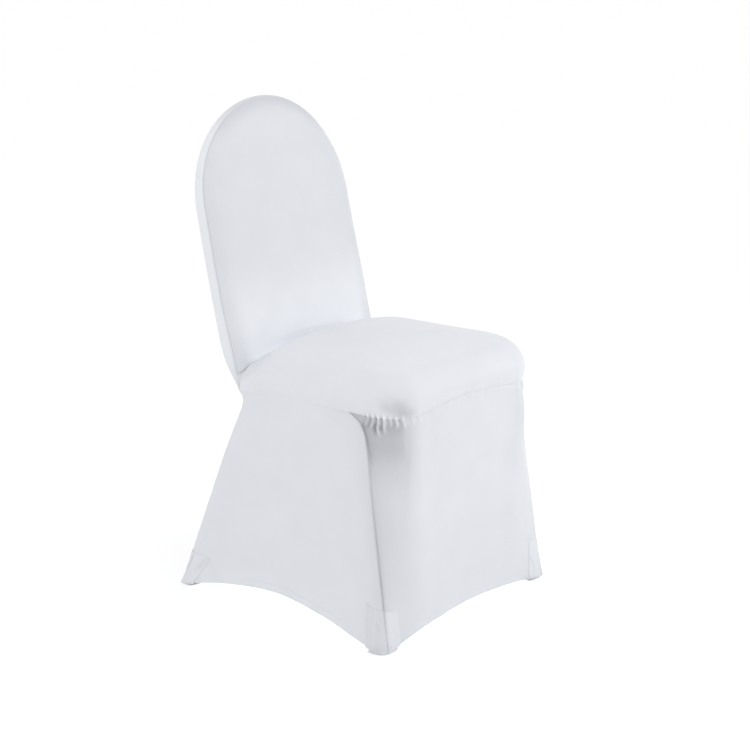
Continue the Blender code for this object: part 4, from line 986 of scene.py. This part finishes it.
def pocket_grid(name, skin):
    """A foot pocket: down outside the skirt, under its hem and up inside it; and its painted shade."""
    side_top, end_top, reach, top_share, end_reach = POCKETS[name]
    rounding = POCKET_ROUNDING_FRONT if "front" in name else POCKET_ROUNDING_REAR
    wall, run = corner_wall(name, skin)
    behind = -graded(rounding + reach, POCKET_STEP, True, True)[:0:-1]
    places = np.concatenate((behind, graded(end_reach, POCKET_STEP, True, True)))
    rise = 1 - graded(POCKET_SLOPE, POCKET_STEP) / POCKET_SLOPE
    round_share = (places - places[0]) / (places[-1] - places[0])
    tops = mix(side_top, end_top, round_share)
    past = np.minimum(places + rounding, 0.0)

    def wall_row(share):
        slant = past * (top_share - 1) * share
        return np.array([on_wall(wall, run, p, share, top) for p, top in zip(places + slant, tops)])

    outer = np.array([wall_row(share) for share in rise])
    middle = outer[-1].mean(axis=0) * POCKET_MIDDLE
    outward = np.array([plan_outward(row, middle) for row in outer])
    edge = np.minimum(places - places[0], places[-1] - places)[None, :]
    edge = np.minimum(edge, (1 - rise)[:, None] * POCKET_SLOPE)
    lift = np.minimum(edge / POCKET_LIFT_RUN, 1.0) * (POCKET_LIFT + POCKET_TUCK) - POCKET_TUCK
    outer = outer + outward * lift[..., None]
    hem, out = outer[-1], outward[-1]
    floor = np.maximum(hem[:, 2] - HEM_Z, 0.0)
    inner = hem - out * POCKET_WIDTH
    bow = -np.sign(middle * IN_PLAN) * POCKET_BOW / math.sqrt(2)
    inner = mix(inner[0], inner[-1], round_share[:, None]) + bow * np.sin(math.pi * round_share)[:, None]
    rows = list(outer)
    round_off = POCKET_EDGE * (1 - math.sqrt(0.5))
    across = (inner - hem) * IN_PLAN
    across /= np.linalg.norm(across, axis=1)[:, None]
    for start, way in ((hem, 1), (inner, -1)):
        steps = ((0.0, POCKET_EDGE), (round_off, round_off), (POCKET_EDGE, 0.0))
        for inset, up in steps[::way]:
            row = start + across * inset * way
            row[:, 2] = floor + up
            rows.append(row)
    above = inner + (wall_row(POCKET_LEAN_SHARE) - hem) * IN_PLAN
    above[:, 2] = POCKET_INNER_TOP
    rows.append(above)
    grid = np.array(rows)
    shade = np.zeros(grid.shape[:2])
    # Painted shade along the corner seam and the edges, and over the whole pocket
    shade[: len(rise)] = line_shade(places, "pocket_corner")[None] + line_shade(edge, "pocket_edge")
    painted_side_shade = POCKET_SIDE_PAINTED_SHADE * below(places, 0.0, -POCKET_SIDE_FROM)
    shade[: len(rise)] += POCKET_PAINTED_SHADE + painted_side_shade if "front" in name else REAR_POCKET_PAINTED_SHADE
    return grid, shade


# Meshes

# The part of a hem that is folded up inside: its height, its gap, and how far its edge hangs down
HEM_TURN, HEM_GAP, HEM_EDGE_GAP, HEM_EDGE_DROP = 0.015, 0.0013, 0.00065, 0.0006
# Which axis of a panel's grid runs down to its hem, and whether both of its ends are hems
HEMS = {
    "outside_back": (0, True),
    "skirt_front": (1, False),
    "skirt_left": (0, False),
    "skirt_right": (0, False),
}
# A point inside the cover that each panel faces away from
INSIDE = {"inside_back": (0, 0.3, 0.6), "outside_back": (0, 0.05, 0.45)}
INSIDE_LOW = (0, -0.03, 0.25)
# Points that agree to a micrometre are one point: micrometres in a metre
WELD_GRID = 1e6


def welded(grids):
    """All panels as one vertex list: unique points, and each panel's indices into them."""
    points = np.concatenate([grid.reshape(-1, 3) for grid in grids.values()])
    keys = np.round(points * WELD_GRID).astype(np.int64)
    _, first, index = np.unique(keys, axis=0, return_index=True, return_inverse=True)
    index = index.reshape(-1)
    places, start = {}, 0
    for name, grid in grids.items():
        size = grid.shape[0] * grid.shape[1]
        places[name] = index[start : start + size].reshape(grid.shape[:2])
        start += size
    return points[first], places


def numbered(grid):
    return np.arange(grid.shape[0] * grid.shape[1]).reshape(grid.shape[:2])


def quads_of(index, turned):
    corners = (index[:-1, :-1], index[:-1, 1:], index[1:, 1:], index[1:, :-1])
    quads = np.stack(corners, axis=-1).reshape(-1, 4)
    return quads[:, ::-1] if turned else quads


def vertex_normals(points, quads):
    a, b, c, d = (points[quads[:, i]] for i in range(4))
    face = np.cross(c - a, d - b)
    total = np.zeros_like(points)
    for i in range(4):
        np.add.at(total, quads[:, i], face)
    return total / np.maximum(np.linalg.norm(total, axis=1), TINY)[:, None]


def faces_inwards(grid, name):
    """Whether the grid's own winding would face the wrong way."""
    step = np.cross(grid[1:, 1:] - grid[:-1, :-1], grid[1:, :-1] - grid[:-1, 1:])
    middle = (grid[1:, 1:] + grid[:-1, :-1]) / 2 - np.array(INSIDE.get(name, INSIDE_LOW))
    return (step * middle).sum() < 0


def turned_hem(points, normals, shade, index):
    """Index rows of the hem that is folded up inside, below a panel whose last row is its edge."""
    edge = points[index]
    up = np.linalg.norm(edge - edge[-1:], axis=2).mean(axis=1)
    rows = [-1] + [row for row in range(len(index) - 1, -1, -1) if up[row] < HEM_TURN]
    extra = []
    for number, row in enumerate(rows):
        gap = HEM_GAP if number else HEM_EDGE_GAP
        drop = np.array((0.0, 0.0, 0.0 if number else HEM_EDGE_DROP))
        extra.append(points[index[row]] - normals[index[row]] * gap - drop)
    fresh = len(points) + numbered(np.array(extra))
    points = np.concatenate((points, np.array(extra).reshape(-1, 3)))
    return points, np.concatenate((shade, np.zeros(fresh.size))), fresh


def with_hem(name, index, points, normals, shade):
    if name not in HEMS:
        return index, points, shade
    axis, both = HEMS[name]
    index = index.T if axis == 1 else index
    points, shade, fresh = turned_hem(points, normals, shade, index)
    index_out = np.concatenate((index, fresh))
    if both:
        points, shade, fresh = turned_hem(points, normals, shade, index[::-1])
        index_out = np.concatenate((fresh[::-1], index_out))
    return (index_out.T if axis == 1 else index_out), points, shade


def add_mesh(name, points, shade, index, turned):
    """A smooth sheet from an index grid, with its own lengths as texture coordinates."""
    grid = points[index]
    across, down = lengths(grid, 1), lengths(grid, 0)
    middle = across.shape[1] // 2
    flat = np.stack(np.broadcast_arrays(across, down[:, middle : middle + 1]), axis=-1)
    corners = quads_of(numbered(grid), turned)
    ids, uv = index.reshape(-1), flat.reshape(-1, 2)
    faces, coordinates = [], []
    for quad in corners.tolist():
        ring = [corner for i, corner in enumerate(quad) if ids[corner] != ids[quad[i - 1]]]
        if len({ids[corner] for corner in ring}) > 2:
            faces.append([int(ids[corner]) for corner in ring])
            coordinates += [uv[corner] for corner in ring]
    used = np.unique(np.concatenate([np.array(ring) for ring in faces]))
    place = np.zeros(len(points), int)
    place[used] = np.arange(len(used))
    mesh = bpy.data.meshes.new(name)
    mesh.from_pydata(points[used].tolist(), [], [[int(place[v]) for v in ring] for ring in faces])
    layer = mesh.uv_layers.new(name="cloth")
    layer.data.foreach_set("uv", np.array(coordinates, np.float32).reshape(-1))
    mesh.attributes.new("shade", "FLOAT", "POINT").data.foreach_set("value", shade[used].astype(np.float32))
    mesh.shade_smooth()
    obj = bpy.data.objects.new(name, mesh)
    bpy.context.scene.collection.objects.link(obj)
    return obj


# Cloth

CLOTH_COLOUR = (0.640, 0.655, 0.690, 1)
# The colour that painted shade mixes the cloth towards; painted light, below zero, mixes it the other way,
# as far as the lightest value
SHADED_COLOUR = (0.300, 0.310, 0.340, 1)
MOST_PAINTED_LIGHT = -0.8
# Distance between the knit's rows and columns, and how many of the wave pattern's units a metre has
KNIT_PITCH, WAVE_UNITS = (("X", 0.0011), ("Y", 0.0008)), 10


def cloth_material():
    material = bpy.data.materials.new("stretch_knit")
    material.use_nodes = True
    tree = material.node_tree
    shader = tree.nodes["Principled BSDF"]

    def fill(made, values):
        for key, value in values.items():
            made.inputs[key].default_value = value
        return made

    def node(kind, values, **settings):
        made = tree.nodes.new(kind)
        for key, value in settings.items():
            setattr(made, key, value)
        return fill(made, values)

    def join(source, socket, target, name):
        tree.links.new(source.outputs[socket], target.inputs[name])

    fill(shader, {"Roughness": 0.55, "Sheen Weight": 0.12, "Sheen Roughness": 0.5})
    uv = node("ShaderNodeUVMap", {}, uv_map="cloth")
    weave = node("ShaderNodeMath", {}, operation="MULTIPLY")
    for number, (direction, pitch) in enumerate(KNIT_PITCH):
        values = {"Scale": math.pi / (WAVE_UNITS * pitch), "Distortion": 0.6, "Detail": 1.0}
        settings = {"wave_type": "BANDS", "bands_direction": direction, "wave_profile": "SIN"}
        wave = node("ShaderNodeTexWave", values, **settings)
        join(uv, "UV", wave, "Vector")
        join(wave, "Fac", weave, number)
    soft = node("ShaderNodeTexNoise", {"Scale": 17.0, "Detail": 1.5})
    join(node("ShaderNodeTexCoord", {}), "Object", soft, "Vector")
    knit_bump = node("ShaderNodeBump", {"Strength": 0.25, "Distance": 0.00012})
    join(weave, "Value", knit_bump, "Height")
    soft_bump = node("ShaderNodeBump", {"Strength": 0.5, "Distance": 0.0012})
    join(soft, "Fac", soft_bump, "Height")
    join(knit_bump, "Normal", soft_bump, "Normal")
    join(soft_bump, "Normal", shader, "Normal")

    tone = node("ShaderNodeMapRange", {"To Min": 0.97, "To Max": 1.03})
    join(soft, "Fac", tone, "Value")
    scaled = node("ShaderNodeVectorMath", {0: CLOTH_COLOUR[:3]}, operation="SCALE")
    join(tone, "Result", scaled, "Scale")
    # The shade attribute: painted shade mixed into the base colour, and painted light where it is below zero
    shade = node("ShaderNodeAttribute", {}, attribute_name="shade")
    mixed = node("ShaderNodeMix", {}, data_type="RGBA", clamp_factor=False)
    join(shade, "Fac", mixed, "Factor")
    first, second = (socket for socket in mixed.inputs if socket.type == "RGBA")
    tree.links.new(scaled.outputs["Vector"], first)
    second.default_value = SHADED_COLOUR
    result = next(socket for socket in mixed.outputs if socket.type == "RGBA")
    tree.links.new(result, shader.inputs["Base Color"])
    return material


# Pockets whose grids run the other way round, so that their faces are turned over
POCKETS_TURNED = ("pocket_front_right", "pocket_rear_left")


def dress(obj, node, cloth):
    obj.data.materials.append(cloth)
    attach(obj, "root")
    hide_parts(node)


def add_piece(name, points, shade, index, turned, cloth):
    obj = add_mesh(name + "_cloth", points, shade, index, turned)
    dress(obj, name, cloth)


def add_panels(cloth):
    """The six panels, welded along their seams; gives back their finished grids of points."""
    made = panels()
    grids = {name: grid for name, (grid, _) in made.items()}
    turned = {name: faces_inwards(grid, name) for name, grid in grids.items()}
    points, places = welded(grids)
    quads = np.concatenate([quads_of(index, turned[name]) for name, index in places.items()])
    height, shade, count = (np.zeros(len(points)) for _ in range(3))
    for name, index in places.items():
        own_height, own_shade = detail(name, grids[name])
        np.add.at(height, index, own_height)
        np.add.at(shade, index, own_shade + made[name][1])
        np.add.at(count, index, 1.0)
    points = points + vertex_normals(points, quads) * (height / count)[:, None]
    shade = np.clip(shade / count, MOST_PAINTED_LIGHT, 1.0)
    normals = vertex_normals(points, quads)
    for name, index in places.items():
        index, own_points, own_shade = with_hem(name, index, points, normals, shade)
        add_piece(name, own_points, own_shade, index, turned[name], cloth)
    return {name: points[index] for name, index in places.items()}


def add_pockets(skin, cloth):
    for name in POCKETS:
        grid, shade = pocket_grid(name, skin)
        height, dark = fold_detail(name, grid)
        index, turned, points = numbered(grid), name in POCKETS_TURNED, grid.reshape(-1, 3)
        points = points + vertex_normals(points, quads_of(index, turned)) * height.reshape(-1)[:, None]
        shade = np.clip(shade + dark, MOST_PAINTED_LIGHT, 1.0).reshape(-1)
        add_piece(name, points, shade, index, turned, cloth)


CLOTH = cloth_material()
add_pockets(add_panels(CLOTH), CLOTH)


# Floor, light and camera

FLOOR_REACH = 400.0
# Lights: place, the point that it faces, size across and power
LIGHTS = {
    "key": ((1.15, -1.9, 2.7), (0, 0, 0.45), 1.8, 13),
    "low": ((1.0, -1.0, 0.6), (0, 0, 0.45), 0.5, 2.1),
    "fill": ((-1.2, 0.1, 1.35), (0, 0.05, 0.65), 0.6, 2.4),
    "under": ((0.0, -0.05, 0.33), (0, -0.051, 0), 0.25, 2.5),
}
CAMERA_PLACE, CAMERA_LENS, CAMERA_SENSOR = (-2.0105, -1.7505, 1.0938), 70.845, 36
CAMERA_HEADING, CAMERA_PITCH = math.radians(49.533), math.radians(14.514)


def add_floor():
    mesh = bpy.data.meshes.new("floor")
    corners = [(x * FLOOR_REACH, y * FLOOR_REACH, 0) for x, y in ((-1, -1), (1, -1), (1, 1), (-1, 1))]
    mesh.from_pydata(corners, [], [(0, 1, 2, 3)])
    material = bpy.data.materials.new("floor_paint")
    material.use_nodes = True
    shader = material.node_tree.nodes["Principled BSDF"]
    shader.inputs["Base Color"].default_value = (1.0, 1.0, 1.0, 1)
    shader.inputs["Roughness"].default_value = 0.9
    mesh.materials.append(material)
    floor = bpy.data.objects.new("floor", mesh)
    bpy.context.scene.collection.objects.link(floor)


def facing(heading, down):
    """Turn of a light or a camera that faces this way round from +Y, and this far down."""
    return math.pi / 2 - down, 0, -heading


def add_area_light(name, place, target, size, power):
    light = bpy.data.lights.new(name, "AREA")
    light.shape = "DISK"
    light.size = size
    light.energy = power
    obj = bpy.data.objects.new(name, light)
    x, y, z = np.array(target, float) - np.array(place, float)
    obj.location = place
    obj.rotation_euler = facing(math.atan2(x, y), math.atan2(-z, math.hypot(x, y)))
    bpy.context.scene.collection.objects.link(obj)


def add_lights():
    world = bpy.data.worlds.new("studio")
    bpy.context.scene.world = world
    world.use_nodes = True
    background = world.node_tree.nodes["Background"]
    background.inputs["Color"].default_value = (1.0, 1.0, 1.0, 1)
    background.inputs["Strength"].default_value = 1.0
    for name, values in LIGHTS.items():
        add_area_light(name, *values)


def add_camera():
    camera = bpy.data.cameras.new("camera")
    camera.lens = CAMERA_LENS
    camera.sensor_width = CAMERA_SENSOR
    obj = bpy.data.objects.new("camera", camera)
    obj.location = CAMERA_PLACE
    obj.rotation_euler = facing(CAMERA_HEADING, CAMERA_PITCH)
    bpy.context.scene.collection.objects.link(obj)
    bpy.context.scene.camera = obj


add_floor()
add_lights()
add_camera()
bpy.context.scene.view_settings.view_transform = "Standard"

bpy.context.view_layer.update()
